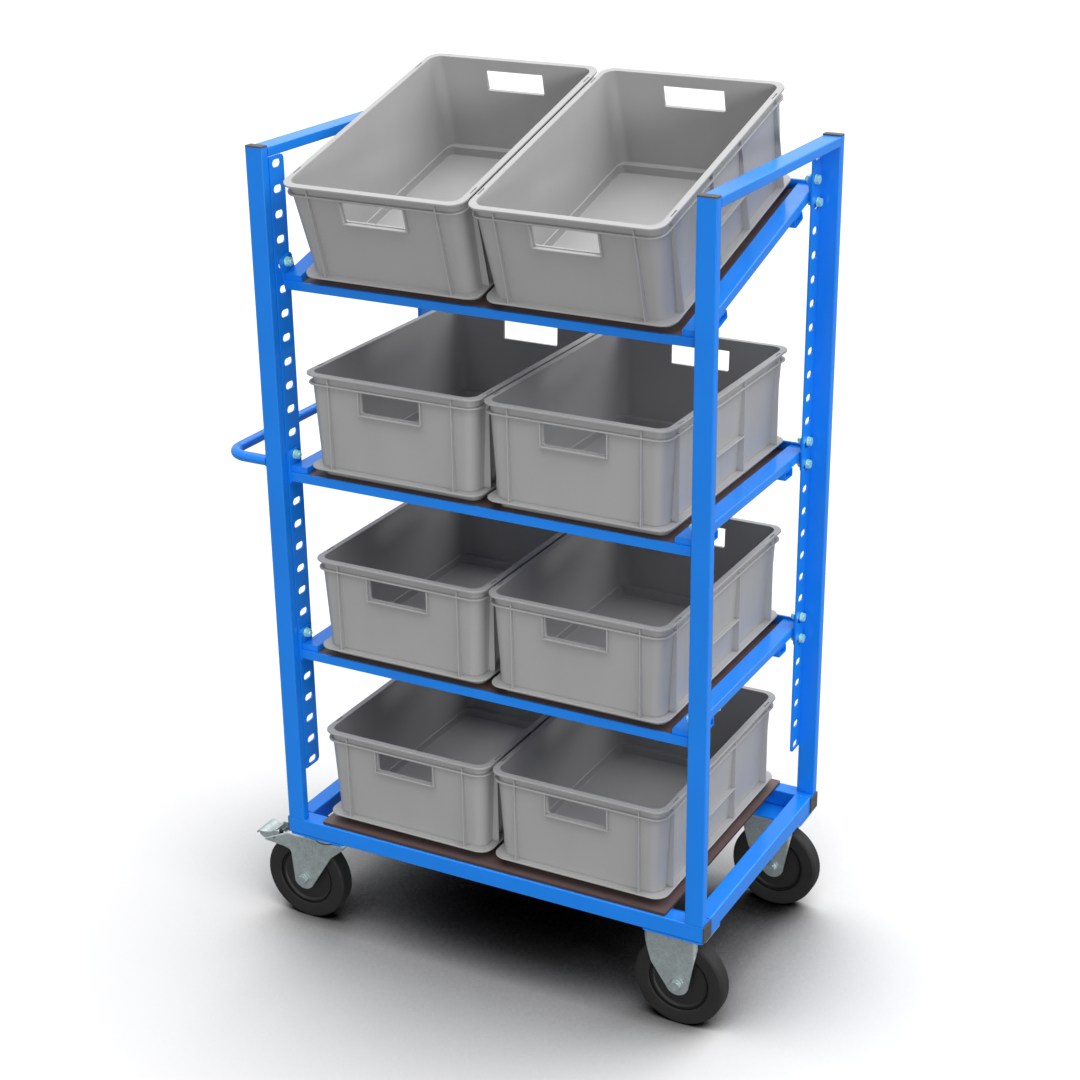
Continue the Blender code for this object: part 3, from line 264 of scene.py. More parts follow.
class TrolleyBoltSizes(bpy.types.PropertyGroup):
    """Sizes of the bolts."""

    shelf_bolt: length("Shelf bolt", "Thread diameter of the shelf bolts", 0.010)
    plate_bolt: length("Plate bolt", "Thread diameter of the caster bolts", 0.010)
    thread_depth: length("Thread depth", "Depth of a bolt's thread", 0.0006)


class TrolleyStudio(bpy.types.PropertyGroup):
    """The camera and the lights."""

    image_size: bpy.props.IntProperty(
        name="Image size", description="Side of the square image in pixels", default=1080, min=1
    )
    focal_pixels: bpy.props.FloatProperty(
        name="Focal length", description="Focal length in image pixels", default=2071.41, min=1
    )
    optical_x: bpy.props.FloatProperty(
        name="Optical centre X", description="Pixel column that the lens points at", default=607.486
    )
    optical_y: bpy.props.FloatProperty(
        name="Optical centre Y", description="Pixel row that the lens points at", default=540.891
    )
    yaw: bpy.props.FloatProperty(
        name="Yaw", description="Turn of the camera about Z", default=0.46359, subtype="ANGLE"
    )
    pitch: bpy.props.FloatProperty(
        name="Pitch", description="How far the camera looks down", default=0.38947, subtype="ANGLE"
    )
    place: bpy.props.FloatVectorProperty(
        name="Camera place",
        description="Camera's place from the middle of the front rail's front face on the floor",
        default=(1.89858, -3.23086, 2.54652),
        subtype="TRANSLATION",
        unit="LENGTH",
    )
    sky: strength("Sky", "Strength of the even light from all round", 0.47)
    key: strength("Key", "Strength of the key light from above", 4.50)
    fill: strength("Fill", "Strength of the fill light from the picking side", 0.88)
    key_lean: angle("Key turn X", "Turn of the key light about X", -9)
    key_side: angle("Key turn Y", "Turn of the key light about Y", 14)
    key_spread: angle("Key spread", "Angle that the key light fills", 100)
    fill_rise: angle("Fill rise", "Turn of the fill light from straight down", 95)
    fill_side: angle("Fill side", "Turn of the fill light about Z", 28)
    fill_spread: angle("Fill spread", "Angle that the fill light fills", 10)
    floor_size: length("Floor size", "Side of the studio floor", 80.0)
    floor_tone: strength("Floor", "Brightness of the open floor", 0.69)
    floor_bounce: strength("Floor bounce", "How much light the floor throws back", 0.22)
    # The floor's contact shade is painted into its colour from ambient occlusion; these set its
    # reach and range.
    shade_reach: length("Shade reach", "How far the floor's contact shade reaches", 1.5)
    shade_dark: strength("Darkest shade", "Openness at which the floor is darkest", 0.26)
    shade_clear: strength("Clear floor", "Openness at which the floor is clear", 0.90)


# Modelling helpers


def deselect_all():
    """Leave edit mode and select nothing."""
    active = bpy.context.view_layer.objects.active
    if active and active.mode != "OBJECT":
        bpy.ops.object.mode_set(mode="OBJECT")
    bpy.ops.object.select_all(action="DESELECT")


def activate(*pieces):
    """Select only these pieces, the first one active."""
    deselect_all()
    for piece in pieces:
        piece.select_set(True)
    bpy.context.view_layer.objects.active = pieces[0]


def settle(name):
    """Name the new primitive and put its place, turn and scale into its mesh."""
    piece = bpy.context.object
    piece.name = name
    piece.data.name = name
    bpy.ops.object.transform_apply(location=True, rotation=True, scale=True)
    return piece


def add_block(name, low, high):
    """A block between two corners."""
    deselect_all()
    low, high = Vector(low), Vector(high)
    bpy.ops.mesh.primitive_cube_add(size=1, location=(low + high) / 2, scale=high - low)
    return settle(name)


def add_rod(name, centre, axis, radius, depth, vertices=32):
    """A round rod, or a prism with few vertices, along an axis."""
    deselect_all()
    bpy.ops.mesh.primitive_cylinder_add(
        vertices=vertices, radius=radius, depth=depth, location=centre, rotation=TURNS[axis]
    )
    return settle(name)


def add_outline(name, points):
    """A flat face with these corners, from a circle whose points are set on them."""
    deselect_all()
    bpy.ops.mesh.primitive_circle_add(vertices=len(points), radius=1, fill_type="NGON")
    piece = settle(name)
    for vertex, point in zip(piece.data.vertices, points):
        vertex.co = point
    return piece


def edit_where(piece, kind, test):
    """Enter edit mode with only the vertices, edges or faces selected that pass a test."""
    activate(piece)
    bpy.ops.object.mode_set(mode="EDIT")
    bpy.ops.mesh.select_mode(type=kind)
    bpy.ops.mesh.select_all(action="DESELECT")
    mesh = bmesh.from_edit_mesh(piece.data)
    parts = {"VERT": mesh.verts, "EDGE": mesh.edges, "FACE": mesh.faces}[kind]
    for part in parts:
        if test(part):
            part.select_set(True)
    mesh.select_flush_mode()
    bmesh.update_edit_mesh(piece.data)


def end_edit():
    """Go back to object mode."""
    bpy.ops.object.mode_set(mode="OBJECT")


def round_edges(piece, radius, steps, test):
    """Bevel the edges that pass a test."""
    edit_where(piece, "EDGE", test)
    bpy.ops.mesh.bevel(offset=radius, segments=steps, affect="EDGES", clamp_overlap=True)
    end_edit()


def edge_way(edge):
    """The direction of an edge."""
    return (edge.verts[1].co - edge.verts[0].co).normalized()


def runs_along(axis):
    """A test for edges that run along an axis."""
    return lambda edge: abs(edge_way(edge).dot(AXES[axis])) > ALIGNED


def runs_level(edge):
    """Whether an edge is level."""
    return abs(edge_way(edge).z) < 1 - ALIGNED


def lies_above(height):
    """A test for edges that lie above a height."""
    return lambda edge: min(vertex.co.z for vertex in edge.verts) > height


def lies_below(height):
    """A test for edges that lie below a height."""
    return lambda edge: max(vertex.co.z for vertex in edge.verts) < height


def faces_along(axis):
    """A test for faces that look along an axis, either way."""
    return lambda face: abs(face.normal.dot(AXES[axis])) > ALIGNED


def apply_modifier(piece, kind, **settings):
    """Add a modifier, set it up and apply it."""
    activate(piece)
    modifier = piece.modifiers.new(kind.title(), kind)
    for key, value in settings.items():
        setattr(modifier, key, value)
    bpy.ops.object.modifier_apply(modifier=modifier.name)


def soften(piece, width, steps=2, angle_limit=35):
    """Round every edge sharper than an angle in degrees."""
    apply_modifier(
        piece,
        "BEVEL",
        width=width,
        segments=steps,
        limit_method="ANGLE",
        angle_limit=math.radians(angle_limit),
        harden_normals=False,
    )


def combine(piece, other, operation="DIFFERENCE"):
    """Cut another piece out of this one, or fuse or intersect them. The other one is used up."""
    own = operation == "UNION"
    apply_modifier(piece, "BOOLEAN", object=other, operation=operation, use_self=own)
    bpy.data.objects.remove(other, do_unlink=True)
    return piece


def join(name, pieces):
    """Join pieces into one object."""
    activate(*pieces)
    if len(pieces) > 1:
        bpy.ops.object.join()
    pieces[0].name = name
    pieces[0].data.name = name
    return pieces[0]


def repeat(piece, count, step):
    """Repeat a piece in a row."""
    apply_modifier(
        piece,
        "ARRAY",
        count=count,
        use_relative_offset=False,
        use_constant_offset=True,
        constant_offset_displace=step,
    )
    return piece


def face_outwards(piece):
    """Turn all faces of a closed piece outwards."""
    edit_where(piece, "FACE", lambda face: True)
    bpy.ops.mesh.normals_make_consistent(inside=False)
    end_edit()
    return piece


def copy_of(piece, name, matrix=None):
    """A copy with its own mesh, moved by a matrix."""
    made = piece.copy()
    made.data = piece.data.copy()
    made.name = name
    made.data.name = name
    bpy.context.scene.collection.objects.link(made)
    if matrix:
        move(made, matrix)
    return made


def move(piece, matrix):
    """Move a mesh, and turn its faces outwards again where the matrix mirrors it."""
    piece.data.transform(matrix)
    if matrix.determinant() < 0:
        piece.data.flip_normals()
    return piece


def remove(piece):
    """Delete a template."""
    bpy.data.objects.remove(piece, do_unlink=True)


def finish_piece(piece, material, body, nodes=(), smooth=35):
    """Smooth, paint and attach a finished piece, and let it stand for its CAD nodes."""
    activate(piece)
    bpy.ops.object.shade_smooth_by_angle(angle=math.radians(smooth))
    if not piece.data.materials:
        piece.data.materials.append(material)
    else:
        piece.data.materials[0] = material
    apply_modifier(piece, "WEIGHTED_NORMAL", keep_sharp=True)
    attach(piece, body)
    if nodes:
        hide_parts(*nodes)
    return piece


def add_tube(name, low, high, axis, radius, steps=4):
    """A closed rectangular tube along an axis, its long edges rounded."""
    piece = add_block(name, low, high)
    round_edges(piece, radius, steps, runs_along(axis))
    return piece


def hollow_ends(piece, axis, wall, depth):
    """Open both ends of a tube."""
    edit_where(piece, "FACE", faces_along(axis))
    bpy.ops.mesh.inset(thickness=wall, use_individual=True)
    bpy.ops.mesh.extrude_region_shrink_fatten(TRANSFORM_OT_shrink_fatten={"value": -depth})
    end_edit()


def add_turned(name, profile, centre, axis, steps=64):
    """A solid of revolution from points of (radius, height), about an axis through a centre."""
    piece = add_outline(name, [(radius, 0, height) for radius, height in profile])
    edit_where(piece, "FACE", lambda face: True)
    bpy.ops.mesh.delete(type="ONLY_FACE")
    end_edit()
    apply_modifier(
        piece,
        "SCREW",
        angle=math.tau,
        steps=steps,
        render_steps=steps,
        axis="Z",
        use_merge_vertices=True,
        merge_threshold=0.00001,
        use_normal_calculate=True,
    )
    face_outwards(piece)
    turn = {"x": Matrix.Rotation(math.pi / 2, 4, "Y"), "y": Matrix.Rotation(-math.pi / 2, 4, "X")}
    return move(piece, Matrix.Translation(centre) @ turn.get(axis, Matrix.Identity(4)))


def arc(centre, radius, start, end, steps):
    """Points of an arc between two angles in degrees."""
    angles = [math.radians(start + (end - start) * step / steps) for step in range(steps + 1)]
    return [(centre[0] + radius * math.cos(a), centre[1] + radius * math.sin(a)) for a in angles]


def add_plate(name, points, start, thickness):
    """A sheet whose outline lies in the XZ plane, from one Y to the next."""
    piece = add_outline(name, [(x, start, z) for x, z in points])
    edit_where(piece, "FACE", lambda face: True)
    bpy.ops.mesh.extrude_region_move(TRANSFORM_OT_translate={"value": (0, thickness, 0)})
    end_edit()
    return face_outwards(piece)


def add_rounded_block(name, low, high, radius, steps=8, edge=0.0, edge_steps=2):
    """A block with rounded upright edges, and softened level ones where asked."""
    piece = add_block(name, low, high)
    round_edges(piece, radius, steps, runs_along("z"))
    if edge:
        round_edges(piece, edge, edge_steps, runs_level)
    return piece


# Finishes


def start_material(name):
    """A new node material, its tree and its shader."""
    material = bpy.data.materials.new(name)
    material.use_nodes = True
    return material, material.node_tree, material.node_tree.nodes["Principled BSDF"]


def object_place(tree, tilt=0.0, stretch=(1, 1, 1)):
    """Object coordinates, turned about X and stretched."""
    source = tree.nodes.new("ShaderNodeTexCoord")
    mapping = tree.nodes.new("ShaderNodeMapping")
    mapping.inputs["Rotation"].default_value = (-tilt, 0, 0)
    mapping.inputs["Scale"].default_value = stretch
    tree.links.new(source.outputs["Object"], mapping.inputs["Vector"])
    return mapping.outputs["Vector"]


def noise(tree, place, scale, detail=2.0):
    """A noise pattern, from 0 to 1."""
    node = tree.nodes.new("ShaderNodeTexNoise")
    node.inputs["Scale"].default_value = scale
    node.inputs["Detail"].default_value = detail
    tree.links.new(place, node.inputs["Vector"])
    return node.outputs["Fac"]


def spread(tree, pattern, low, high, start=0.3, end=0.7):
    """A pattern mapped to a range."""
    node = tree.nodes.new("ShaderNodeMapRange")
    node.inputs["From Min"].default_value = start
    node.inputs["From Max"].default_value = end
    node.inputs["To Min"].default_value = low
    node.inputs["To Max"].default_value = high
    tree.links.new(pattern, node.inputs["Value"])
    return node.outputs["Result"]


def tinted(tree, colour_value, factor):
    """A colour whose brightness follows a factor."""
    node = tree.nodes.new("ShaderNodeVectorMath")
    node.operation = "SCALE"
    node.inputs[0].default_value = colour_value
    tree.links.new(factor, node.inputs["Scale"])
    return node.outputs["Vector"]


def product(tree, first, second):
    """Two factors multiplied."""
    node = tree.nodes.new("ShaderNodeMath")
    node.operation = "MULTIPLY"
    tree.links.new(first, node.inputs[0])
    tree.links.new(second, node.inputs[1])
    return node.outputs["Value"]


def add_bump(tree, shader, pattern, strength, distance, before=None):
    """Bump from a pattern, over an earlier bump where there is one."""
    node = tree.nodes.new("ShaderNodeBump")
    node.inputs["Strength"].default_value = strength
    node.inputs["Distance"].default_value = distance
    tree.links.new(pattern, node.inputs["Height"])
    if before:
        tree.links.new(before, node.inputs["Normal"])
    tree.links.new(node.outputs["Normal"], shader.inputs["Normal"])
    return node.outputs["Normal"]


def powder_coat(colours):
    """Glossy blue powder coat with a fine orange peel."""
    material, tree, shader = start_material("blue_powder_coat")
    place = object_place(tree)
    cloud = spread(tree, noise(tree, place, 5.0, 3.0), 0.95, 1.05)
    tree.links.new(tinted(tree, colours.paint, cloud), shader.inputs["Base Color"])
    tree.links.new(spread(tree, noise(tree, place, 26.0), 0.17, 0.22), shader.inputs["Roughness"])
    wave = add_bump(tree, shader, noise(tree, place, 260.0, 1.0), 0.05, 0.0004)
    add_bump(tree, shader, noise(tree, place, 900.0, 1.0), 0.06, 0.0002, wave)
    shader.inputs["Specular IOR Level"].default_value = 0.36
    return material


def film_face(colours, name, tilt):
    """Dark phenolic film with a pressed mesh, on the boards' faces."""
    material, tree, shader = start_material(name)
    place = object_place(tree, tilt)
    grain = object_place(tree, tilt, (0.25, 3.0, 3.0))
    streaks = spread(tree, noise(tree, grain, 14.0, 4.0), 0.88, 1.12)
    specks = spread(tree, noise(tree, place, 620.0, 1.0), 0.86, 1.14)
    shade = product(tree, streaks, specks)
    tree.links.new(tinted(tree, colours.board, shade), shader.inputs["Base Color"])
    tree.links.new(spread(tree, noise(tree, place, 30.0), 0.42, 0.55), shader.inputs["Roughness"])
    mesh = add_bump(tree, shader, noise(tree, place, 420.0, 2.0), 0.20, 0.0003)
    add_bump(tree, shader, noise(tree, grain, 60.0, 3.0), 0.08, 0.0004, mesh)
    return material


def ply_edge(colours, name, tilt):
    """The boards' sealed edges, whose plies show as thin lines."""
    material, tree, shader = start_material(name)
    place = object_place(tree, tilt)
    wave = tree.nodes.new("ShaderNodeTexWave")
    wave.bands_direction = "Z"
    wave.inputs["Scale"].default_value = 240.0
    wave.inputs["Distortion"].default_value = 0.6
    wave.inputs["Detail"].default_value = 1.0
    wave.inputs["Detail Scale"].default_value = 0.2
    tree.links.new(place, wave.inputs["Vector"])
    plies = spread(tree, wave.outputs["Fac"], 0.65, 1.30, 0.1, 0.9)
    tree.links.new(tinted(tree, colours.ply, plies), shader.inputs["Base Color"])
    shader.inputs["Roughness"].default_value = 0.6
    add_bump(tree, shader, wave.outputs["Fac"], 0.15, 0.0003)
    return material


def bin_plastic(colours):
    """Grey polypropylene with a fine moulded grain and faint flow marks."""
    material, tree, shader = start_material("grey_bin_plastic")
    place = object_place(tree)
    flow = spread(tree, noise(tree, object_place(tree, 0, (1, 1, 0.25)), 9.0, 2.0), 0.97, 1.03)
    specks = spread(tree, noise(tree, place, 700.0, 1.0), 0.975, 1.025)
    shade = product(tree, flow, specks)
    tree.links.new(tinted(tree, colours.bins, shade), shader.inputs["Base Color"])
    tree.links.new(spread(tree, noise(tree, place, 40.0), 0.44, 0.54), shader.inputs["Roughness"])
    add_bump(tree, shader, noise(tree, place, 1100.0, 1.0), 0.16, 0.0002)
    return material


def zinc_plate(colours):
    """Bright zinc plate with a fine crystal pattern."""
    material, tree, shader = start_material("zinc_plated_steel")
    place = object_place(tree)
    crystals = tree.nodes.new("ShaderNodeTexVoronoi")
    crystals.inputs["Scale"].default_value = 420.0
    tree.links.new(place, crystals.inputs["Vector"])
    split = tree.nodes.new("ShaderNodeSeparateColor")
    tree.links.new(crystals.outputs["Color"], split.inputs["Color"])
    facets = spread(tree, split.outputs["Red"], 0.86, 1.12, 0.0, 1.0)
    clouds = spread(tree, noise(tree, place, 45.0, 3.0), 0.90, 1.10)
    shade = product(tree, facets, clouds)
    tree.links.new(tinted(tree, colours.zinc, shade), shader.inputs["Base Color"])
    rough = spread(tree, split.outputs["Green"], 0.34, 0.50, 0.0, 1.0)
    tree.links.new(rough, shader.inputs["Roughness"])
    shader.inputs["Metallic"].default_value = 0.75
    add_bump(tree, shader, noise(tree, place, 600.0, 2.0), 0.10, 0.0002)
    return material


def bolt_zinc(colours):
    """Passivated bolts with a cold green shine."""
    material, tree, shader = start_material("passivated_bolts")
    place = object_place(tree)
    shade = spread(tree, noise(tree, place, 300.0, 2.0), 0.90, 1.08)
    tree.links.new(tinted(tree, colours.bolts, shade), shader.inputs["Base Color"])
    tree.links.new(spread(tree, noise(tree, place, 500.0), 0.26, 0.38), shader.inputs["Roughness"])
    shader.inputs["Metallic"].default_value = 0.35
    return material


def rubber(colours):
    """Matt solid rubber."""
    material, tree, shader = start_material("black_rubber")
    place = object_place(tree)
    dust = spread(tree, noise(tree, place, 18.0, 4.0), 0.85, 1.20)
    tree.links.new(tinted(tree, colours.tyre, dust), shader.inputs["Base Color"])
    tree.links.new(spread(tree, noise(tree, place, 60.0), 0.58, 0.72), shader.inputs["Roughness"])
    shader.inputs["Specular IOR Level"].default_value = 0.35
    add_bump(tree, shader, noise(tree, place, 500.0, 3.0), 0.25, 0.0003)
    return material


def moulded(name, colour_value, roughness):
    """Dark moulded plastic with a fine grain."""
    material, tree, shader = start_material(name)
    place = object_place(tree)
    shade = spread(tree, noise(tree, place, 30.0, 3.0), 0.90, 1.10)
    tree.links.new(tinted(tree, colour_value, shade), shader.inputs["Base Color"])
    rough = spread(tree, noise(tree, place, 80.0), roughness - 0.05, roughness + 0.05)
    tree.links.new(rough, shader.inputs["Roughness"])
    add_bump(tree, shader, noise(tree, place, 800.0, 2.0), 0.20, 0.0002)
    return material


def finish_of(name, make, *details):
    """A finish by its name, made the first time that it is asked for."""
    return bpy.data.materials.get(name) or make(*details)


def paint():
    """The powder coat."""
    return finish_of("blue_powder_coat", powder_coat, bpy.context.scene.trolley_colours)


def plastic_cap():
    """The end caps' plastic."""
    colours = bpy.context.scene.trolley_colours
    return finish_of("dark_cap_plastic", moulded, "dark_cap_plastic", colours.cap, 0.55)


def zinc():
    """The casters' zinc plate."""
    return finish_of("zinc_plated_steel", zinc_plate, bpy.context.scene.trolley_colours)


def bolt_finish():
    """The bolts' finish."""
    return finish_of("passivated_bolts", bolt_zinc, bpy.context.scene.trolley_colours)


# Bolts, whose sizes are shares of their thread's diameter


ACROSS_FLATS = 1.625
HEAD_HEIGHT = 0.66
LOW_HEAD_HEIGHT = 0.64
NUT_HEIGHT = 0.8
WASHER_HEIGHT = 0.2
THREAD_END = 1.15
THREAD_LENGTH = 0.42
THREAD_PITCH = 0.16


def add_hexagon(name, start, diameter, height):
    """A hexagon along X with turned-down corners, outwards from a face."""
    across = ACROSS_FLATS * diameter
    corner = across / math.sqrt(3)
    middle = start + height / 2
    piece = add_rod(name, (middle, 0, 0), "x", corner, height, 6)
    turned = add_rod("turned", (middle, 0, 0), "x", corner * 1.02, height, 48)

    def is_outer(edge):
        return abs(edge_way(edge).x) < 0.5 and edge.verts[0].co.x > middle

    round_edges(turned, corner - across / 2, 1, is_outer)
    return combine(piece, turned, "INTERSECT")


def add_washer(name, start, diameter):
    """A washer along X, outwards from a face."""
    thickness = WASHER_HEIGHT * diameter
    piece = add_rod(name, (start + thickness / 2, 0, 0), "x", diameter, thickness, 40)
    soften(piece, thickness / 5, 1)
    return piece, thickness


def add_bolt(name, diameter, grip, thread_depth):
    """A bolt along X with its head at +X, washers on both sides and a nut at -X.

    The grip is what it clamps, from X = 0 back to -grip.
    """
    washer, thickness = add_washer("washer", 0, diameter)
    head = add_hexagon("head", thickness, diameter, HEAD_HEIGHT * diameter)
    back, _ = add_washer("washer", 0, diameter)
    nut = add_hexagon("nut", thickness, diameter, NUT_HEIGHT * diameter)
    for piece in (back, nut):
        move(piece, Matrix.Translation((-grip, 0, 0)) @ Matrix.Rotation(math.pi, 4, "Z"))
    end = -grip - thickness - THREAD_END * diameter
    pitch = THREAD_PITCH * diameter
    radius = diameter / 2
    profile = [(0, 0), (radius, 0)]
    height = 0.0
    while height < THREAD_LENGTH * diameter:
        profile.append((radius, height + pitch * 0.2))
        profile.append((radius - thread_depth, height + pitch * 0.6))
        height += pitch
    profile += [(radius - thread_depth, height), (0, height)]
    stub = add_turned("thread", [(r, -z) for r, z in profile], (0, 0, 0), "z", 20)
    inner = end + height
    move(stub, Matrix.Translation((inner, 0, 0)) @ Matrix.Rotation(math.pi / 2, 4, "Y"))
    middle = ((inner + thickness) / 2, 0, 0)
    shank = add_rod("shank", middle, "x", radius * 0.98, thickness - inner, 20)
    return join(name, [head, washer, back, nut, stub, shank])


# Base frame


def model_base(context):
    """The base rails with their corner plates, the cross members and the rails' caps."""
    sizes = context.scene.trolley_frame
    casters = context.scene.trolley_casters
    for end in ENDS:
        node = f"base_{end}_rail"
        rail = add_tube(f"painted_{node}", *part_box(node), "x", sizes.rail_radius)
        finish_piece(rail, paint(), FRAME_BODY, [node])
        for side, hand in SIDES.items():
            node = f"rail_cap_{end}_{side}"
            low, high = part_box(node)
            cap_start = RAIL_HIGH.x if hand > 0 else RAIL_LOW.x
            outer = high.x if hand > 0 else low.x
            low.x, high.x = min(cap_start, outer), max(cap_start, outer)
            cap = add_block(f"moulded_{node}", low, high)
            soften(cap, sizes.cap_radius, 3)
            finish_piece(cap, plastic_cap(), FRAME_BODY, [node])
    size = RAIL_HIGH.z - RAIL_LOW.z
    for side, hand in SIDES.items():
        node = f"base_{side}_crossmember"
        cross = add_tube(f"painted_{node}", *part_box(node), "y", sizes.rail_radius)
        finish_piece(cross, paint(), FRAME_BODY, [node])
        model_side_rail(side, hand, size, sizes, casters)


def model_side_rail(side, hand, size, sizes, casters):
    """One side rail of the base frame with the two corner plates welded under it."""
    node = f"base_{side}_rail"
    low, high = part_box(node)
    rail_low, rail_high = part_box(f"base_{side}_crossmember")
    rail_low.x = high.x - size if hand > 0 else low.x
    rail_high.x = rail_low.x + size
    pieces = [add_tube("rail", rail_low, rail_high, "y", sizes.rail_radius)]
    wheel = "fixed_wheel_spin" if hand > 0 else "caster_swivel"
    for end, sign in ENDS.items():
        centre_x = JOINTS[f"{end}_{wheel}"]["pos_m"][0]
        centre_y = JOINTS[f"{end}_fixed_wheel_spin"]["pos_m"][1]
        edge = low.y if sign < 0 else high.y
        span = sorted((edge, edge - sign * sizes.plate_depth))
        corner = (rail_high.x if hand > 0 else high.x, span[1], low.z + sizes.plate_thickness)
        start = (low.x, span[0], low.z)
        plate = add_rounded_block("plate", start, corner, casters.plate_radius, 6)
        for cut in plate_hole_cutters(centre_x, centre_y, low.z, casters):
            combine(plate, cut)
        soften(plate, sizes.sheet_edge, 1)
        pieces.append(plate)
        radius = sizes.weld_radius
        x = (rail_low.x if hand > 0 else rail_high.x) + hand * radius * 0.4
        count = int((span[1] - span[0]) / 2 / WELD_RIPPLE)
        pieces.append(add_weld(x, sum(span) / 2, rail_low.z - radius * 0.1, radius, count))
    rail = join(f"painted_{node}", pieces)
    finish_piece(rail, paint(), FRAME_BODY, [node])


def plate_hole_cutters(x, y, z, casters):
    """Rods that cut a caster plate's four bolt holes."""
    cutters = []
    for along in SIDES.values():
        for across in ENDS.values():
            hole_x = x + along * casters.hole_pitch_x / 2
            hole_y = y + across * casters.hole_pitch_y / 2
            radius = casters.hole_diameter / 2
            cutters.append(add_rod("hole", (hole_x, hole_y, z), "z", radius, 3 * OVERRUN, 24))
    return cutters


def add_weld(x, middle, z, radius, count):
    """A short rippled weld bead along Y."""
    deselect_all()
    start = (x, middle - count * WELD_RIPPLE / 2, z)
    bpy.ops.mesh.primitive_uv_sphere_add(segments=10, ring_count=6, radius=radius, location=start)
    return repeat(settle("bead"), count, (0, WELD_RIPPLE, 0))


def model_deck(context):
    """The deck board on the base frame."""
    low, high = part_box("base_deck")
    board = add_rounded_block("deck_board", low, high, context.scene.trolley_frame.deck_radius, 4)
    finish_board(context, board, "base_deck", 0.0)


def finish_board(context, board, node, tilt):
    """A board's film on its faces and its plies round its edges."""
    colours = context.scene.trolley_colours
    tag = "tilted" if tilt else "level"
    soften(board, context.scene.trolley_shelves.board_edge, 2)
    up = Matrix.Rotation(tilt, 3, "X") @ AXES["z"]
    face = finish_of(f"film_face_{tag}", film_face, colours, f"film_face_{tag}", tilt)
    edge = finish_of(f"ply_edge_{tag}", ply_edge, colours, f"ply_edge_{tag}", tilt)
    board.data.materials.append(face)
    board.data.materials.append(edge)
    for polygon in board.data.polygons:
        polygon.material_index = 0 if abs(polygon.normal.dot(up)) > 0.7 else 1
    finish_piece(board, face, FRAME_BODY, [node])


# Uprights


def model_posts(context):
    """The posts, their caps and the top bars."""
    sizes = context.scene.trolley_frame
    for side in SIDES:
        for end in ENDS:
            node = f"post_{end}_{side}"
            low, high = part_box(node)
            post = add_tube(f"painted_{node}", low, high, "z", sizes.post_radius)
            finish_piece(post, paint(), FRAME_BODY, [node])
            node = f"post_cap_{end}_{side}"
            cap_low, cap_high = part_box(node)
            cap_low.z = high.z
            cap = add_tube(f"moulded_{node}", cap_low, cap_high, "z", sizes.post_radius)
            round_edges(cap, sizes.cap_radius, 2, lies_above(cap_high.z - NEAR))
            finish_piece(cap, plastic_cap(), FRAME_BODY, [node])
        node = f"top_bar_{side}"
        bar = add_tube(f"painted_{node}", *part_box(node), "y", sizes.post_radius)
        finish_piece(bar, paint(), FRAME_BODY, [node])


def model_strips(context):
    """The four slotted strips."""
    sizes = context.scene.trolley_frame
    post_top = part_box("post_front_right")[1].z
    for side in SIDES:
        for end, sign in ENDS.items():
            node = f"slotted_strip_{end}_{side}"
            low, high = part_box(node)
            strip = add_block(f"painted_{node}", low, high)

            def is_free(edge, y=low.y if sign > 0 else high.y):
                return runs_along("x")(edge) and abs(edge.verts[0].co.y - y) < NEAR

            round_edges(strip, sizes.strip_radius, 6, is_free)
            combine(strip, slot_cutters(low, high, post_top, sizes))
            soften(strip, sizes.sheet_edge, 2)
            finish_piece(strip, paint(), FRAME_BODY, [node])


def slot_cutters(low, high, post_top, sizes):
    """A row of cutters for a strip's slots, from one stretched rod."""
    middle = (low + high) / 2
    top_slot = post_top - sizes.first_slot_drop
    radius = sizes.slot_height / 2
    stretch = sizes.slot_length / 2 - radius
    count = int((top_slot - low.z) / sizes.slot_pitch) + 1
    cutter = add_rod("slots", (middle.x, middle.y, top_slot), "x", radius, 3 * (high.x - low.x), 28)
    for way in (-1, 1):
        edit_where(cutter, "VERT", lambda v, w=way: (v.co.y - middle.y) * w > NEAR)
        bpy.ops.transform.translate(value=(0, way * stretch, 0))
        end_edit()
    return repeat(cutter, count, (0, 0, -sizes.slot_pitch))


def model_handle(context):
    """The push handle: a bent tube, from a curve, with a weld collar at each post."""
    sizes = context.scene.trolley_frame
    low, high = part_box("push_handle")
    radius = sizes.handle_diameter / 2
    z = (low.z + high.z) / 2
    far, near = low.x + radius, high.x
    front, rear = low.y + radius, high.y - radius
    bend = sizes.handle_bend
    path = [(near, front)]
    path += arc((far + bend, front + bend), bend, -90, -180, 12)
    path += arc((far + bend, rear - bend), bend, 180, 90, 12)
    path.append((near, rear))
    curve = bpy.data.curves.new("handle_path", "CURVE")
    curve.dimensions = "3D"
    curve.bevel_depth = radius
    curve.bevel_resolution = 6
    curve.use_fill_caps = True
    spline = curve.splines.new("POLY")
    spline.points.add(len(path) - 1)
    for point, (x, y) in zip(spline.points, path):
        point.co = (x, y, z, 1)
    handle = bpy.data.objects.new("painted_push_handle", curve)
    context.scene.collection.objects.link(handle)
    activate(handle)
    bpy.ops.object.convert(target="MESH")
    pieces = [bpy.context.object]
    width, reach = sizes.collar_width, sizes.collar_length
    ring = [(0, 0), (width, 0), (width * 8 / 11, -reach * 2 / 3), (0, -reach)]
    for y in (front, rear):
        profile = [(radius + out, back) for out, back in ring]
        pieces.append(add_turned("collar", profile, (near, y, z), "x", 32))
    handle = join("painted_push_handle", pieces)
    finish_piece(handle, paint(), FRAME_BODY, ["push_handle"])


# Shelves


def joint_tilt(name):
    """How far a joint's slide leans, from the way that it runs."""
    axis = JOINTS[name]["axis"]
    return math.atan2(-axis[2], -axis[1])


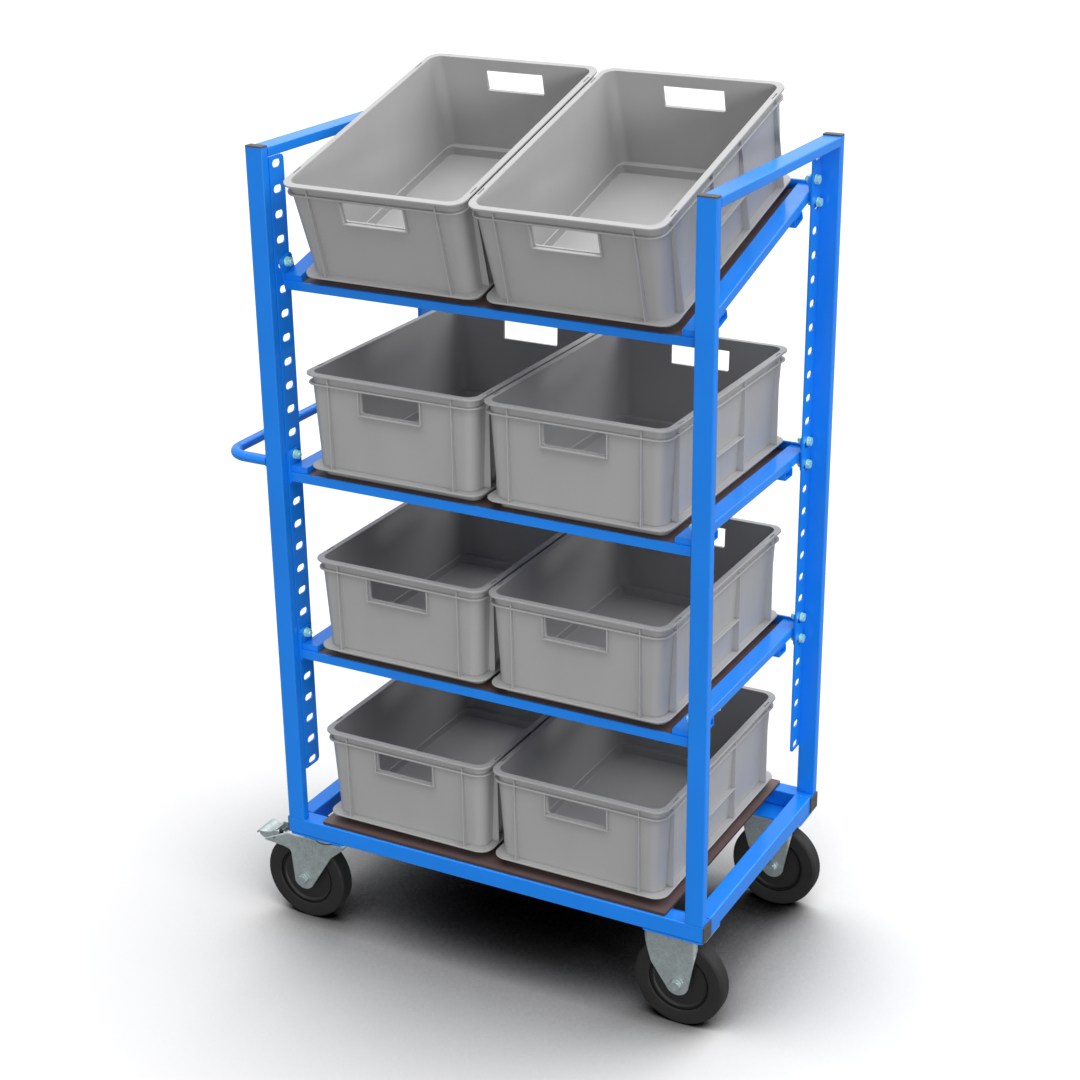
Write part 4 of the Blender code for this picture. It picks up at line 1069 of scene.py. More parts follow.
def shelf_matrix(level, sizes):
    """The place and lean of the middle between a shelf's bolts, from its board's box."""
    tilt = joint_tilt(f"{level}_bin_left_pull")
    low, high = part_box(f"{level}_shelf_board")
    flat_low, flat_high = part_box("lower_shelf_board")
    thickness = flat_high.z - flat_low.z
    foot = sizes.rail_top - sizes.rail_height
    board_middle = Vector((0, 0, foot + 2 * FIT + thickness / 2))
    turn = Matrix.Rotation(tilt, 4, "X")
    return Matrix.Translation((low + high) / 2 - turn @ board_middle) @ turn, tilt


def model_shelf_frame(sizes, sheet_edge):
    """One shelf frame about its own middle: lips, side rails, cross tubes and brackets."""
    strip_low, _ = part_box("slotted_strip_front_right")
    _, strip_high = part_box("slotted_strip_rear_right")
    outer = strip_low.x - MIDDLE.x - FIT - sizes.bracket_thickness
    half_depth = (strip_high.y - strip_low.y) / 2 - FIT
    foot = sizes.rail_top - sizes.rail_height
    inner_y = half_depth - sizes.lip_thickness
    board_low, board_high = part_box("lower_shelf_board")
    board_top = foot + FIT + board_high.z - board_low.z
    lip_foot, back_top = board_top - sizes.lip_height, foot + sizes.back_lip_height
    pieces = [
        add_block("lip", (-outer, -half_depth, lip_foot), (outer, -inner_y, board_top)),
        add_block("lip", (-outer, inner_y, foot), (outer, half_depth, back_top)),
    ]
    for piece in pieces:
        soften(piece, sizes.lip_radius, 2)
    for hand in SIDES.values():
        xs = sorted((hand * (outer - sizes.rail_width), hand * outer))
        low, high = (xs[0], -inner_y, foot), (xs[1], inner_y, sizes.rail_top)
        pieces.append(add_tube("rail", low, high, "y", sizes.edge_radius))
        for sign in ENDS.values():
            pieces.append(add_bracket(hand, sign, outer, sizes, sheet_edge))
            x = hand * (outer + 0.0004 - 0.9 * sizes.weld_radius)
            middle = sign * sizes.bolt_reach / 2
            pieces.append(add_weld(x, middle, foot, sizes.weld_radius, 12))
    for sign in ENDS.values():
        y = sign * (half_depth - sizes.tube_inset)
        low = (-outer, y - sizes.tube_width / 2, foot - sizes.tube_height)
        high = (outer, y + sizes.tube_width / 2, foot)
        cross = add_tube("cross", low, high, "x", sizes.edge_radius)
        hollow_ends(cross, "x", sizes.tube_wall, sizes.tube_depth)
        pieces.append(cross)
    return join("shelf_frame", pieces)


def add_bracket(hand, sign, outer, sizes, sheet_edge):
    """A corner bracket with two bolt holes."""
    y = sign * sizes.bolt_reach / 2
    half_height = sizes.bolt_spacing / 2 + sizes.bracket_margin
    xs = sorted((hand * outer, hand * (outer + sizes.bracket_thickness)))
    low = (xs[0], y - sizes.bracket_width / 2, -half_height)
    high = (xs[1], y + sizes.bracket_width / 2, half_height)
    bracket = add_block("bracket", low, high)
    round_edges(bracket, sizes.bracket_radius, 5, runs_along("x"))
    for way in (-1, 1):
        centre = (hand * outer, y, way * sizes.bolt_spacing / 2)
        hole = add_rod("hole", centre, "x", sizes.hole_diameter / 2, 2 * OVERRUN, 24)
        combine(bracket, hole)
    soften(bracket, sheet_edge, 1)
    return bracket


def model_shelves(context):
    """The three shelf frames with their boards."""
    sizes = context.scene.trolley_shelves
    template = model_shelf_frame(sizes, context.scene.trolley_frame.sheet_edge)
    for level in SHELVES:
        matrix, tilt = shelf_matrix(level, sizes)
        node = f"{level}_shelf_frame"
        made = copy_of(template, f"painted_{node}", matrix)
        finish_piece(made, paint(), FRAME_BODY, [node])
        flat_low, flat_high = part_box("lower_shelf_board")
        half = (flat_high - flat_low) / 2
        board = add_rounded_block(f"{level}_board", -half, half, sizes.board_radius, 3)
        low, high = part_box(f"{level}_shelf_board")
        move(board, Matrix.Translation((low + high) / 2) @ Matrix.Rotation(tilt, 4, "X"))
        finish_board(context, board, f"{level}_shelf_board", tilt)
    remove(template)


def model_shelf_bolts(context):
    """The bolts that hold the shelves to the strips."""
    sizes = context.scene.trolley_shelves
    bolts = context.scene.trolley_bolts
    low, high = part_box("slotted_strip_front_right")
    inner = low.x - MIDDLE.x - FIT - sizes.bracket_thickness
    outer = high.x - MIDDLE.x
    template = add_bolt("bolt", bolts.shelf_bolt, outer - inner, bolts.thread_depth)
    move(template, Matrix.Translation((outer, 0, 0)))
    for level in SHELVES:
        matrix, _ = shelf_matrix(level, sizes)
        for side, hand in SIDES.items():
            flip = Matrix.Rotation(math.pi if hand < 0 else 0, 4, "Z")
            pieces = []
            for sign in ENDS.values():
                for way in (-1, 1):
                    if level == "top" and sign < 0 and way < 0:
                        continue  # the tilted shelf has one bolt at each front corner
                    turn = Matrix.Rotation(0.4 * len(pieces) + 0.2 * hand, 4, "X")
                    spot = (0, sign * sizes.bolt_reach / 2, way * sizes.bolt_spacing / 2)
                    place = matrix @ Matrix.Translation(spot) @ flip @ turn
                    pieces.append(copy_of(template, "bolt", place))
            made = join(f"{level}_shelf_bolts_{side}", pieces)
            finish_piece(made, bolt_finish(), FRAME_BODY)
    remove(template)


# Bins


def model_bin(sizes):
    """A stacking bin about its own middle, standing on Z = 0."""
    half_x, half_y, top = sizes.width / 2, sizes.depth / 2, sizes.height
    rim_foot = top - sizes.rim_thickness
    collar_top = rim_foot - sizes.neck_height
    collar_foot = collar_top - sizes.collar_thickness
    foot_top = sizes.foot_height
    flange_top = foot_top + sizes.flange_thickness
    corner, wall_radius = sizes.corner_radius, sizes.corner_radius - sizes.lip / 2

    def layer(name, setback, low, high, radius, edge=0.0, end_setback=None):
        x = half_x - setback
        y = half_y - (setback if end_setback is None else end_setback)
        return add_rounded_block(name, (-x, -y, low), (x, y, high), radius, 8, edge, 3)

    body = layer("bin", sizes.lip, flange_top - OVERLAP, collar_foot + OVERLAP, wall_radius)
    lean = (1 - sizes.draft / (half_x - sizes.lip), 1 - sizes.draft / (half_y - sizes.lip), 1)
    edit_where(body, "VERT", lambda v: v.co.z < flange_top)
    bpy.ops.transform.resize(value=lean, center_override=(0, 0, 0))
    end_edit()
    layers = [
        layer("rim", 0, rim_foot, top, corner, sizes.rim_edge),
        layer("neck", sizes.neck_setback, collar_top - OVERLAP, rim_foot + OVERLAP, wall_radius),
        layer("collar", sizes.collar_setback, collar_foot, collar_top, corner, sizes.collar_edge),
        layer("flange", sizes.flange_setback, foot_top, flange_top, corner, sizes.flange_edge),
        layer("foot", sizes.foot_side, 0, foot_top + OVERLAP, sizes.foot_radius, 0, sizes.foot_end),
    ]
    for piece in layers:
        combine(body, piece, "UNION")
    combine(body, bin_ribs(sizes, flange_top, collar_foot, rim_foot), "UNION")
    combine(body, bin_cavity(sizes, half_x, half_y, top))
    for cutter in bin_cutters(sizes, half_y, half_x, collar_foot, top):
        combine(body, cutter)
    return body


def bin_cavity(sizes, half_x, half_y, top):
    """The space inside a bin, with drafted walls, a filleted floor and a flared mouth."""
    inside = sizes.lip + sizes.wall
    floor = sizes.foot_height + sizes.wall
    radius = sizes.corner_radius - sizes.lip / 2 - sizes.wall
    x, y, above = half_x - inside, half_y - inside, top + OVERRUN
    cavity = add_rounded_block("cavity", (-x, -y, floor), (x, y, above), radius, 8)
    edit_where(cavity, "VERT", lambda v: v.co.z < floor + NEAR)
    lean = (1 - sizes.draft / x, 1 - sizes.draft / y, 1)
    bpy.ops.transform.resize(value=lean, center_override=(0, 0, 0))
    end_edit()
    round_edges(cavity, sizes.fillet, 4, lies_below(floor + NEAR))
    well_x = half_x - sizes.foot_side - sizes.wall
    well_y = half_y - sizes.foot_end - sizes.wall
    low, high = (-well_x, -well_y, sizes.wall), (well_x, well_y, floor + OVERLAP)
    well = add_rounded_block("well", low, high, sizes.foot_radius - sizes.wall, 6)
    round_edges(well, sizes.fillet, 3, lies_below(sizes.wall + NEAR))
    combine(cavity, well, "UNION")
    wide_x, wide_y = x + sizes.flare, y + sizes.flare
    low, high = (-wide_x, -wide_y, top - sizes.flare), (wide_x, wide_y, above)
    mouth = add_rounded_block("mouth", low, high, radius + sizes.flare, 8)
    edit_where(mouth, "VERT", lambda v: v.co.z < top)
    bpy.ops.transform.resize(value=(x / wide_x, y / wide_y, 1), center_override=(0, 0, 0))
    end_edit()
    return combine(cavity, mouth, "UNION")


def bin_ribs(sizes, flange_top, collar_foot, rim_foot):
    """All ribs outside a bin and the frames round its hand grips, as one object."""
    half = sizes.rib / 2
    insets = (sizes.collar_setback + sizes.rib_setback, sizes.lip + sizes.draft + sizes.wall / 2)
    low, high = flange_top - OVERLAP, rim_foot + OVERLAP
    frame_foot = collar_foot - sizes.grip_height - 2 * sizes.rib
    frame_top = collar_foot + OVERLAP
    grip_half = sizes.grip_width / 2 + sizes.grip_flare
    reach, level = sizes.side_rib, sizes.cross_rib
    ribs = []

    def add_rib(start, end):
        ribs.append(add_block("rib", start, end))

    for sign in (-1, 1):
        near, far = sorted(sign * (sizes.depth / 2 - inset) for inset in insets)
        for x in (-sizes.end_rib, sizes.end_rib):
            add_rib((x - half, near, low), (x + half, far, high))
        for x in (-grip_half - half, grip_half + half):
            add_rib((x - half, near, frame_foot), (x + half, far, frame_top))
        add_rib((-grip_half, near, frame_foot), (grip_half, far, frame_foot + sizes.rib))
        near, far = sorted(sign * (sizes.width / 2 - inset) for inset in insets)
        for y in (-sizes.corner_rib, -reach, reach, sizes.corner_rib):
            add_rib((near, y - half, low), (far, y + half, high))
        add_rib((near, -reach, level - half), (far, reach, level + half))
    for rib in ribs:
        soften(rib, sizes.rib_edge, 1)
    return join("ribs", ribs)


def bin_cutters(sizes, half_y, half_x, collar_foot, top):
    """Cutters for the hand grips and the small slots in the rim."""
    cutters = []
    half = sizes.grip_width / 2
    outside = half_y + sizes.rib
    inside = half_y - sizes.lip - sizes.draft - sizes.wall - sizes.rib
    foot, head = collar_foot - sizes.grip_height, collar_foot - sizes.rib_edge
    widen = (1 + sizes.grip_flare / half, 1, 1 + sizes.rib / sizes.grip_height)

    def is_lower_corner(edge):
        return runs_along("y")(edge) and edge.verts[0].co.z < foot + NEAR

    for sign in (-1, 1):
        near, far = sorted((sign * outside, sign * inside))
        grip = add_block("grip", (-half, near, foot), (half, far, head))
        round_edges(grip, sizes.grip_radius, 4, is_lower_corner)
        edit_where(grip, "VERT", lambda v, s=sign: v.co.y * s > half_y)
        bpy.ops.transform.resize(value=widen, center_override=(0, sign * half_y, head))
        end_edit()
        cutters.append(grip)
        for hand in (-1, 1):
            x, y = hand * (half_x - sizes.lip / 2), sign * sizes.slot_place
            across, along = sizes.slot_width / 2, sizes.slot_length / 2
            low = (x - across, y - along, top - sizes.slot_depth)
            cutters.append(add_block("slot", low, (x + across, y + along, top + OVERRUN)))
    return cutters


def bin_matrix(level, side, sizes):
    """The place of a bin, worked out from its CAD box and its joint's lean."""
    low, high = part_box(f"{level}_bin_{side}")
    tilt = joint_tilt(f"{level}_bin_{side}_pull")
    across, up = math.sin(tilt), math.cos(tilt)
    y = low.y + sizes.depth / 2 * up + sizes.height * across
    z = high.z - sizes.depth / 2 * across - sizes.height * up
    return Matrix.Translation(((low.x + high.x) / 2, y, z)) @ Matrix.Rotation(tilt, 4, "X")


def model_bins(context):
    """The eight bins, copied from one."""
    sizes = context.scene.trolley_bins
    material = bin_plastic(context.scene.trolley_colours)
    template = model_bin(sizes)
    for level in LEVELS:
        for side in SIDES:
            node = f"{level}_bin_{side}"
            made = copy_of(template, f"moulded_{node}", bin_matrix(level, side, sizes))
            finish_piece(made, material, node, [node], 30)
    remove(template)


# Casters


FIXED_FRONT, FIXED_REAR = 0.0465, 0.0785  # a fixed fork's reach to both sides of its axle
FIXED_CORNER, FIXED_INNER_CORNER = 0.014, 0.011  # its upright folds, outside and inside
CROWN_DROP = 0.017  # from its plate down to where its crown narrows


def model_wheels(context):
    """The tyres and hubs of all four wheels."""
    sizes = context.scene.trolley_casters
    colours = context.scene.trolley_colours
    tyre_finish = rubber(colours)
    hub_finish = moulded("black_hub_plastic", colours.hub, 0.5)
    half, radius, bore = sizes.wheel_width / 2, sizes.wheel_radius, sizes.tyre_bore
    seat = sizes.rim_width / 2
    crown = [(bore, -seat), (bore + 0.001, -seat - 0.0008), (bore + 0.004, -half + 0.0002)]
    edge = sizes.tread_radius
    crown += [(radius - 2 * edge, -half)] + arc((radius - edge, edge - half), edge, -90, -12, 7)
    crown += [(radius - sizes.tread_crown, -half * 0.35)]
    profile = crown + [(r, -z) for r, z in reversed(crown)]
    tyre = add_turned("tyre", profile, (0, 0, 0), "y", 96)
    hub = model_hub(sizes)
    for kind in ("swivel", "fixed"):
        for end in ENDS:
            joint = JOINTS[f"{end}_{kind}_wheel_spin"]
            matrix = Matrix.Translation(joint["pos_m"])
            body = joint["child"]
            node = f"{kind}_caster_{end}_tyre"
            made = copy_of(tyre, f"rubber_{node}", matrix)
            finish_piece(made, tyre_finish, body, [node], 40)
            node = f"{kind}_caster_{end}_hub"
            made = copy_of(hub, f"moulded_{node}", matrix)
            finish_piece(made, hub_finish, body, [node], 40)
    remove(tyre)
    remove(hub)


def model_hub(sizes):
    """A wheel's hub: a rim band, a dished web with a step, and a boss."""
    rim = sizes.tyre_bore - FIT
    seat = sizes.rim_width / 2 - sizes.rim_setback
    web, boss = sizes.web / 2, sizes.hub_length / 2
    band, bore = rim - sizes.rim_band, sizes.axle_radius + 0.0005
    inner, outer = 0.005, 0.007  # radii where the web meets the boss and the band
    side = [(bore, boss - 0.0008), (bore + 0.0008, boss), (sizes.hub_radius - 0.002, boss)]
    side += arc((sizes.hub_radius - 0.002, boss - 0.0015), 0.0015, 90, 0, 3)[1:]
    side += arc((sizes.hub_radius + inner, web + inner), inner, 180, 270, 6)
    side += arc((band - outer, web + outer), outer, 270, 360, 8)
    side += [(band + 0.0006, seat - 0.0006), (band + 0.0014, seat)]
    side += [(rim - 0.001, seat), (rim, seat - 0.001)]
    profile = side + [(r, -z) for r, z in reversed(side)]
    return add_turned("hub", profile, (0, 0, 0), "y", 96)


def model_axles(context):
    """The axle bolts with their nuts."""
    sizes = context.scene.trolley_casters
    bolts = context.scene.trolley_bolts
    width = sizes.fork_width + 2 * FIT
    template = add_bolt("axle", 2 * sizes.axle_radius, width, bolts.thread_depth)
    turn = Matrix.Rotation(-math.pi / 2, 4, "Z")
    move(template, turn @ Matrix.Translation((width / 2, 0, 0)))
    for kind in ("swivel", "fixed"):
        for end in ENDS:
            joint = JOINTS[f"{end}_{kind}_wheel_spin"]
            node = f"{kind}_caster_{end}_axle"
            made = copy_of(template, f"zinc_{node}", Matrix.Translation(joint["pos_m"]))
            finish_piece(made, zinc(), joint["parent"], [node])
    remove(template)


def model_fixed_forks(context):
    """The forks of the casters that don't swivel, in one with their top plates."""
    sizes = context.scene.trolley_casters
    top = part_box("fixed_caster_front_fork")[1].z
    axle_z = JOINTS["front_fixed_wheel_spin"]["pos_m"][2]
    plate_foot = top - sizes.plate_thickness
    half, sheet = sizes.fork_width / 2, sizes.fork_sheet
    front, rear, corner = FIXED_FRONT, FIXED_REAR, FIXED_CORNER
    crown, fused = plate_foot - CROWN_DROP, plate_foot + OVERLAP
    outline = [(front, crown), (front - 0.002, fused), (corner - rear, fused), (-rear, crown)]
    outline += [(-0.0585, axle_z + 0.0395)] + arc((0, axle_z), sizes.fork_end, 205, 345, 14)
    fork = add_plate("fork", outline, -half, sizes.fork_width)
    shell = add_rounded_block("shell", (-rear, -half, 0), (front, half, BEYOND), corner, 10)
    combine(fork, shell, "INTERSECT")
    inner, ceiling = half - sheet, plate_foot - sheet
    low, high = (sheet - rear, -inner, 0), (front - sheet, inner, ceiling)
    hollow = add_rounded_block("hollow", low, high, FIXED_INNER_CORNER, 10)
    round_edges(hollow, 0.004, 3, lies_above(ceiling - NEAR))
    combine(fork, hollow)
    gap = sizes.wheel_width / 2 + 0.0015
    combine(fork, add_block("passage", (-BEYOND, -gap, 0), (BEYOND, gap, plate_foot - 0.012)))
    soften(fork, sizes.fork_edge, 2)
    template = join("fixed_fork", [fork, caster_plate(sizes, top)])
    for end in ENDS:
        place = Vector(JOINTS[f"{end}_fixed_wheel_spin"]["pos_m"]) * Vector((1, 1, 0))
        made = copy_of(template, f"zinc_fixed_caster_{end}_fork", Matrix.Translation(place))
        finish_piece(made, zinc(), FRAME_BODY, [f"fixed_caster_{end}_fork"])
    remove(template)


def caster_plate(sizes, top_z):
    """A caster's top plate with its bolt holes, about the caster's own axis."""
    x, y = sizes.plate_length / 2, sizes.plate_width / 2
    low, high = (-x, -y, top_z - sizes.plate_thickness), (x, y, top_z)
    plate = add_rounded_block("plate", low, high, sizes.plate_radius, 6)
    for cutter in plate_hole_cutters(0, 0, top_z, sizes):
        combine(plate, cutter)
    soften(plate, sizes.plate_edge, 2)
    return plate


def model_swivel_plates(context):
    """The swivel casters' top plates with their ball races, dust seals and bolts."""
    sizes = context.scene.trolley_casters
    diameter = context.scene.trolley_bolts.plate_bolt
    node_low, node_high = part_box("swivel_caster_front_plate")
    foot, tip = node_high.z - sizes.plate_thickness, node_low.z
    crown = JOINTS["front_caster_swivel"]["pos_m"][2] + FIT
    plate = caster_plate(sizes, node_high.z)
    # Turned pieces, each point a radius and a height
    race = [(0.0, foot + 0.001), (0.034, foot + 0.001), (0.034, foot - 0.001)]
    race += [(0.0315, foot - 0.0045), (0.0345, foot - 0.0075), (0.036, foot - 0.009)]
    race += [(0.036, crown + 0.0042), (0.0345, crown + 0.003)]
    race += [(0.030, crown + 0.0012), (0.0, crown + 0.0012)]
    cup = add_turned("race", race, (0, 0, 0), "z", 64)
    pin = [(0.0, crown + 0.002), (0.006, crown + 0.002), (0.006, tip + 0.005)]
    pin += [(0.0095, tip + 0.005), (0.011, tip + 0.0035), (0.011, tip + 0.0008)]
    pin += [(0.0102, tip), (0.0, tip)]
    kingpin = add_turned("kingpin", pin, (0, 0, 0), "z", 40)
    seal = [(0.0305, crown + 0.0005), (0.0352, crown + 0.0005), (0.0356, crown + 0.0016)]
    seal += [(0.0352, crown + 0.0030), (0.0305, crown + 0.0030)]
    ring = add_turned("seal", seal, (0, 0, 0), "z", 64)
    template = join("swivel_plate", [plate, cup, kingpin])
    nut, head = add_plate_nut(diameter), add_plate_head(diameter)
    down, up = Matrix.Rotation(math.pi / 2, 4, "Y"), Matrix.Rotation(-math.pi / 2, 4, "Y")
    colours = context.scene.trolley_colours
    for end, sign in ENDS.items():
        place = Vector(JOINTS[f"{end}_caster_swivel"]["pos_m"]) * Vector((1, 1, 0))
        made = copy_of(template, f"zinc_swivel_caster_{end}_plate", Matrix.Translation(place))
        finish_piece(made, zinc(), FRAME_BODY, [f"swivel_caster_{end}_plate"])
        made = copy_of(ring, f"dust_seal_{end}", Matrix.Translation(place))
        seal_finish = finish_of("black_seal", moulded, "black_seal", colours.hub, 0.6)
        finish_piece(made, seal_finish, FRAME_BODY)
        pieces = []
        for along in SIDES.values():
            for across in ENDS.values():
                offset = (along * sizes.hole_pitch_x / 2, across * sizes.hole_pitch_y / 2, foot)
                spot = Matrix.Translation(place + Vector(offset))
                turn = Matrix.Rotation(0.5 * len(pieces), 4, "Z")
                pieces.append(copy_of(nut, "nut", spot @ turn @ down))
        pieces.append(lone_head(head, place, 1, sign, sizes, up))
        made = join(f"plate_bolts_{end}_left", pieces)
        finish_piece(made, bolt_finish(), FRAME_BODY)
        place = Vector(JOINTS[f"{end}_fixed_wheel_spin"]["pos_m"]) * Vector((1, 1, 0))
        made = lone_head(head, place, -1, sign, sizes, up)
        made.name = f"plate_bolts_{end}_right"
        finish_piece(made, bolt_finish(), FRAME_BODY)
    for piece in (template, ring, nut, head):
        remove(piece)


def add_plate_nut(diameter):
    """A plate bolt's nut and washer along X, with the bolt's tip standing out."""
    height = NUT_HEIGHT * diameter
    nut = add_hexagon("nut", 0, diameter, height)
    washer, thickness = add_washer("washer", -WASHER_HEIGHT * diameter, diameter)
    tip = add_rod("tip", (height, 0, 0), "x", diameter / 2 - 0.0004, 0.004, 24)
    soften(tip, 0.0007, 1)
    return move(join("nut", [nut, washer, tip]), Matrix.Translation((thickness, 0, 0)))


def add_plate_head(diameter):
    """A plate bolt's head on its washer, along X."""
    start, height = WASHER_HEIGHT * diameter, LOW_HEAD_HEIGHT * diameter
    head = add_hexagon("head", start, diameter, height)
    collar, _ = add_washer("collar", 0, diameter)
    return join("head", [head, collar])


def lone_head(head, place, inwards, sign, sizes, turn):
    """The head of the one plate bolt whose hole lies clear of the rails, on its corner plate."""
    top = RAIL_LOW.z - FIT
    spot = place + Vector((inwards * sizes.hole_pitch_x / 2, -sign * sizes.hole_pitch_y / 2, top))
    return copy_of(head, "head", Matrix.Translation(spot) @ turn)


def model_swivel_forks(context):
    """The swivelling forks: two legs and a crown from one folded sheet, with the pedal's cheeks."""
    sizes = context.scene.trolley_casters
    kingpin = Vector(JOINTS["front_caster_swivel"]["pos_m"])
    axle = Vector(JOINTS["front_swivel_wheel_spin"]["pos_m"]) - kingpin
    half = sizes.fork_width / 2
    leg_rear = axle.x - 0.0295
    outline = [(0.054, 0), (-0.098, 0), (-0.160, -0.0283), (-0.160, -0.0333)]
    outline += [(leg_rear - 0.020, -0.0370)]
    outline += arc((leg_rear - 0.0125, -0.0515), 0.0125, 80, 15, 5)
    outline += arc((axle.x, axle.z), sizes.fork_end, 205, 335, 14)
    outline.append((0.0145, -0.0365))
    outline.append((0.050, -0.0055))
    fork = add_plate("fork", outline, -half, sizes.fork_width)

    def is_fold(edge):
        heights = [vertex.co.z for vertex in edge.verts]
        on_side = abs(abs(edge.verts[0].co.y) - half) < NEAR and not runs_along("y")(edge)
        return on_side and min(heights) > -0.029 and max(heights) > -NEAR

    def is_inner_fold(edge):
        return runs_along("x")(edge) and edge.verts[0].co.z > -0.01

    round_edges(fork, sizes.fold_radius, 5, is_fold)
    sheet, inner = sizes.fork_sheet, half - sizes.fork_sheet
    hollow = add_block("hollow", (-BEYOND, -inner, -BEYOND), (BEYOND, inner, -sheet))
    round_edges(hollow, sizes.fold_radius - sheet, 3, is_inner_fold)
    combine(fork, hollow)
    combine(fork, add_block("mouth", (-BEYOND, -inner, -BEYOND), (-0.112, inner, OVERRUN)))
    for way in (-1, 1):
        near, far = sorted((way * half * 1.1, way * (half - 0.0008)))
        groove = add_block("groove", (-0.0326, near, -0.092), (-0.0314, far, -0.016))
        combine(fork, groove)
    soften(fork, sizes.fork_edge, 2)
    for end in ENDS:
        place = Matrix.Translation(JOINTS[f"{end}_caster_swivel"]["pos_m"])
        made = copy_of(fork, f"zinc_swivel_caster_{end}_fork", place)
        finish_piece(made, zinc(), f"swivel_caster_{end}", [f"swivel_caster_{end}_fork"])
    remove(fork)


# The pedal's tongue from the pin outwards: X, Z and its share of the full width
TONGUE_SHARES = (
    (-0.0020, 0.0125, 0.70),
    (-0.0100, 0.0102, 0.71),
    (-0.0180, 0.0088, 0.78),
    (-0.0260, 0.0096, 0.92),
    (-0.0340, 0.0105, 0.98),
    (-0.0400, 0.0086, 0.93),
    (-0.0450, 0.0052, 0.83),
    (-0.0500, 0.0000, 0.66),
    (-0.0530, -0.0042, 0.49),
    (-0.0545, -0.0068, 0.34),
)


def lug_outline():
    """The outline of a pedal's lug about its pin, in X and Z."""
    outline = arc((0, 0), 0.007, 275, 350, 6) + arc((0.0085, 0.0125), 0.0040, 0, 90, 5)
    outline += [(-0.004, 0.0150), (-0.010, 0.0090), (-0.018, 0.0075), (-0.026, 0.0082)]
    outline += [(-0.034, 0.0090), (-0.040, 0.0070), (-0.0425, 0.0030), (-0.040, -0.0030)]
    return outline + [(-0.031, -0.0095), (-0.022, -0.0095)]


def add_tongue(width, sheet):
    """A pedal's tongue, pushed out from one place to the next."""
    x, z, share = TONGUE_SHARES[0]
    low = (x, -share * width / 2, z - sheet)
    tongue = add_block("pedal", low, (x + 0.0005, share * width / 2, z))

    def is_end(face):
        return face.normal.x < -0.5 and abs(face.calc_center_median().x - x) < 0.0004

    for next_x, next_z, next_share in TONGUE_SHARES[1:]:
        edit_where(tongue, "FACE", is_end)
        step = (next_x - x, 0, next_z - z)
        bpy.ops.mesh.extrude_region_move(TRANSFORM_OT_translate={"value": step})
        grow = (1, next_share / share, 1)
        bpy.ops.transform.resize(value=grow, center_override=(next_x, 0, next_z))
        end_edit()
        x, z, share = next_x, next_z, next_share
    soften(tongue, 0.0006, 2, 40)
    return tongue


def add_leg_spring():
    """A pedal's leg spring: a coil round the pin and a leg along X."""
    coil = [(0.0042, 0), (0.0052, 0.0005), (0.0056, 0.0010), (0.0052, 0.0015), (0.0042, 0.0020)]
    pieces = []
    for turn in range(5):
        pieces.append(add_turned("coil", coil, (0, -0.007 + turn * 0.0024, 0), "y", 24))
    leg = add_rod("leg", (0, 0, 0), "x", 0.0009, 0.018, 12)
    lean = Matrix.Rotation(math.radians(6), 4, "Y")
    pieces.append(move(leg, Matrix.Translation((-0.0110, -0.0065, 0.0035)) @ lean))
    return join("spring", pieces)


def model_pedals(context):
    """The brake pedals: a bent tongue with two lugs on a riveted pin, and a leg spring."""
    sizes = context.scene.trolley_casters
    sheet = sizes.pedal_sheet
    pieces = [add_tongue(sizes.pedal_width, sheet)]
    face = sizes.fork_width / 2 - sizes.fork_sheet - 0.001
    for start in (-face, face - sheet):
        lug = add_plate("lug", lug_outline(), start, sheet)
        soften(lug, 0.0004, 1)
        pieces.append(lug)
    pieces.append(add_rod("pin", (0, 0, 0), "y", sizes.pin_radius, sizes.fork_width, 24))
    spring = add_leg_spring()
    template = join("pedal", pieces)
    colours = context.scene.trolley_colours
    dark = finish_of("dark_spring", moulded, "dark_spring", colours.spring, 0.4)
    for end in ENDS:
        place = Matrix.Translation(JOINTS[f"{end}_brake_press"]["pos_m"])
        body = f"brake_pedal_{end}"
        made = copy_of(template, f"zinc_swivel_caster_{end}_pedal", place)
        finish_piece(made, zinc(), body, [f"swivel_caster_{end}_pedal"], 30)
        made = copy_of(spring, f"pedal_spring_{end}", place)
        finish_piece(made, dark, body)
    remove(template)
    remove(spring)


class TROLLEY_OT_base(bpy.types.Operator):
    """Model the base frame and its deck"""

    bl_idname = "trolley.base"
    bl_label = "Base Frame and Deck"

    def execute(self, context):
        model_base(context)
        model_deck(context)
        return {"FINISHED"}


class TROLLEY_OT_uprights(bpy.types.Operator):
    """Model the posts, top bars, slotted strips and push handle"""

    bl_idname = "trolley.uprights"
    bl_label = "Uprights and Handle"

    def execute(self, context):
        model_posts(context)
        model_strips(context)
        model_handle(context)
        return {"FINISHED"}


class TROLLEY_OT_shelves(bpy.types.Operator):
    """Model the shelf frames, their boards and their bolts"""

    bl_idname = "trolley.shelves"
    bl_label = "Shelves"

    def execute(self, context):
        model_shelves(context)
        model_shelf_bolts(context)
        return {"FINISHED"}


class TROLLEY_OT_bins(bpy.types.Operator):
    """Model the eight stacking bins"""

    bl_idname = "trolley.bins"
    bl_label = "Stacking Bins"

    def execute(self, context):
        model_bins(context)
        return {"FINISHED"}


class TROLLEY_OT_casters(bpy.types.Operator):
    """Model the casters' wheels, axles, forks, plates and pedals"""

    bl_idname = "trolley.casters"
    bl_label = "Casters"

    def execute(self, context):
        model_wheels(context)
        model_axles(context)
        model_fixed_forks(context)
        model_swivel_plates(context)
        model_swivel_forks(context)
        model_pedals(context)
        return {"FINISHED"}


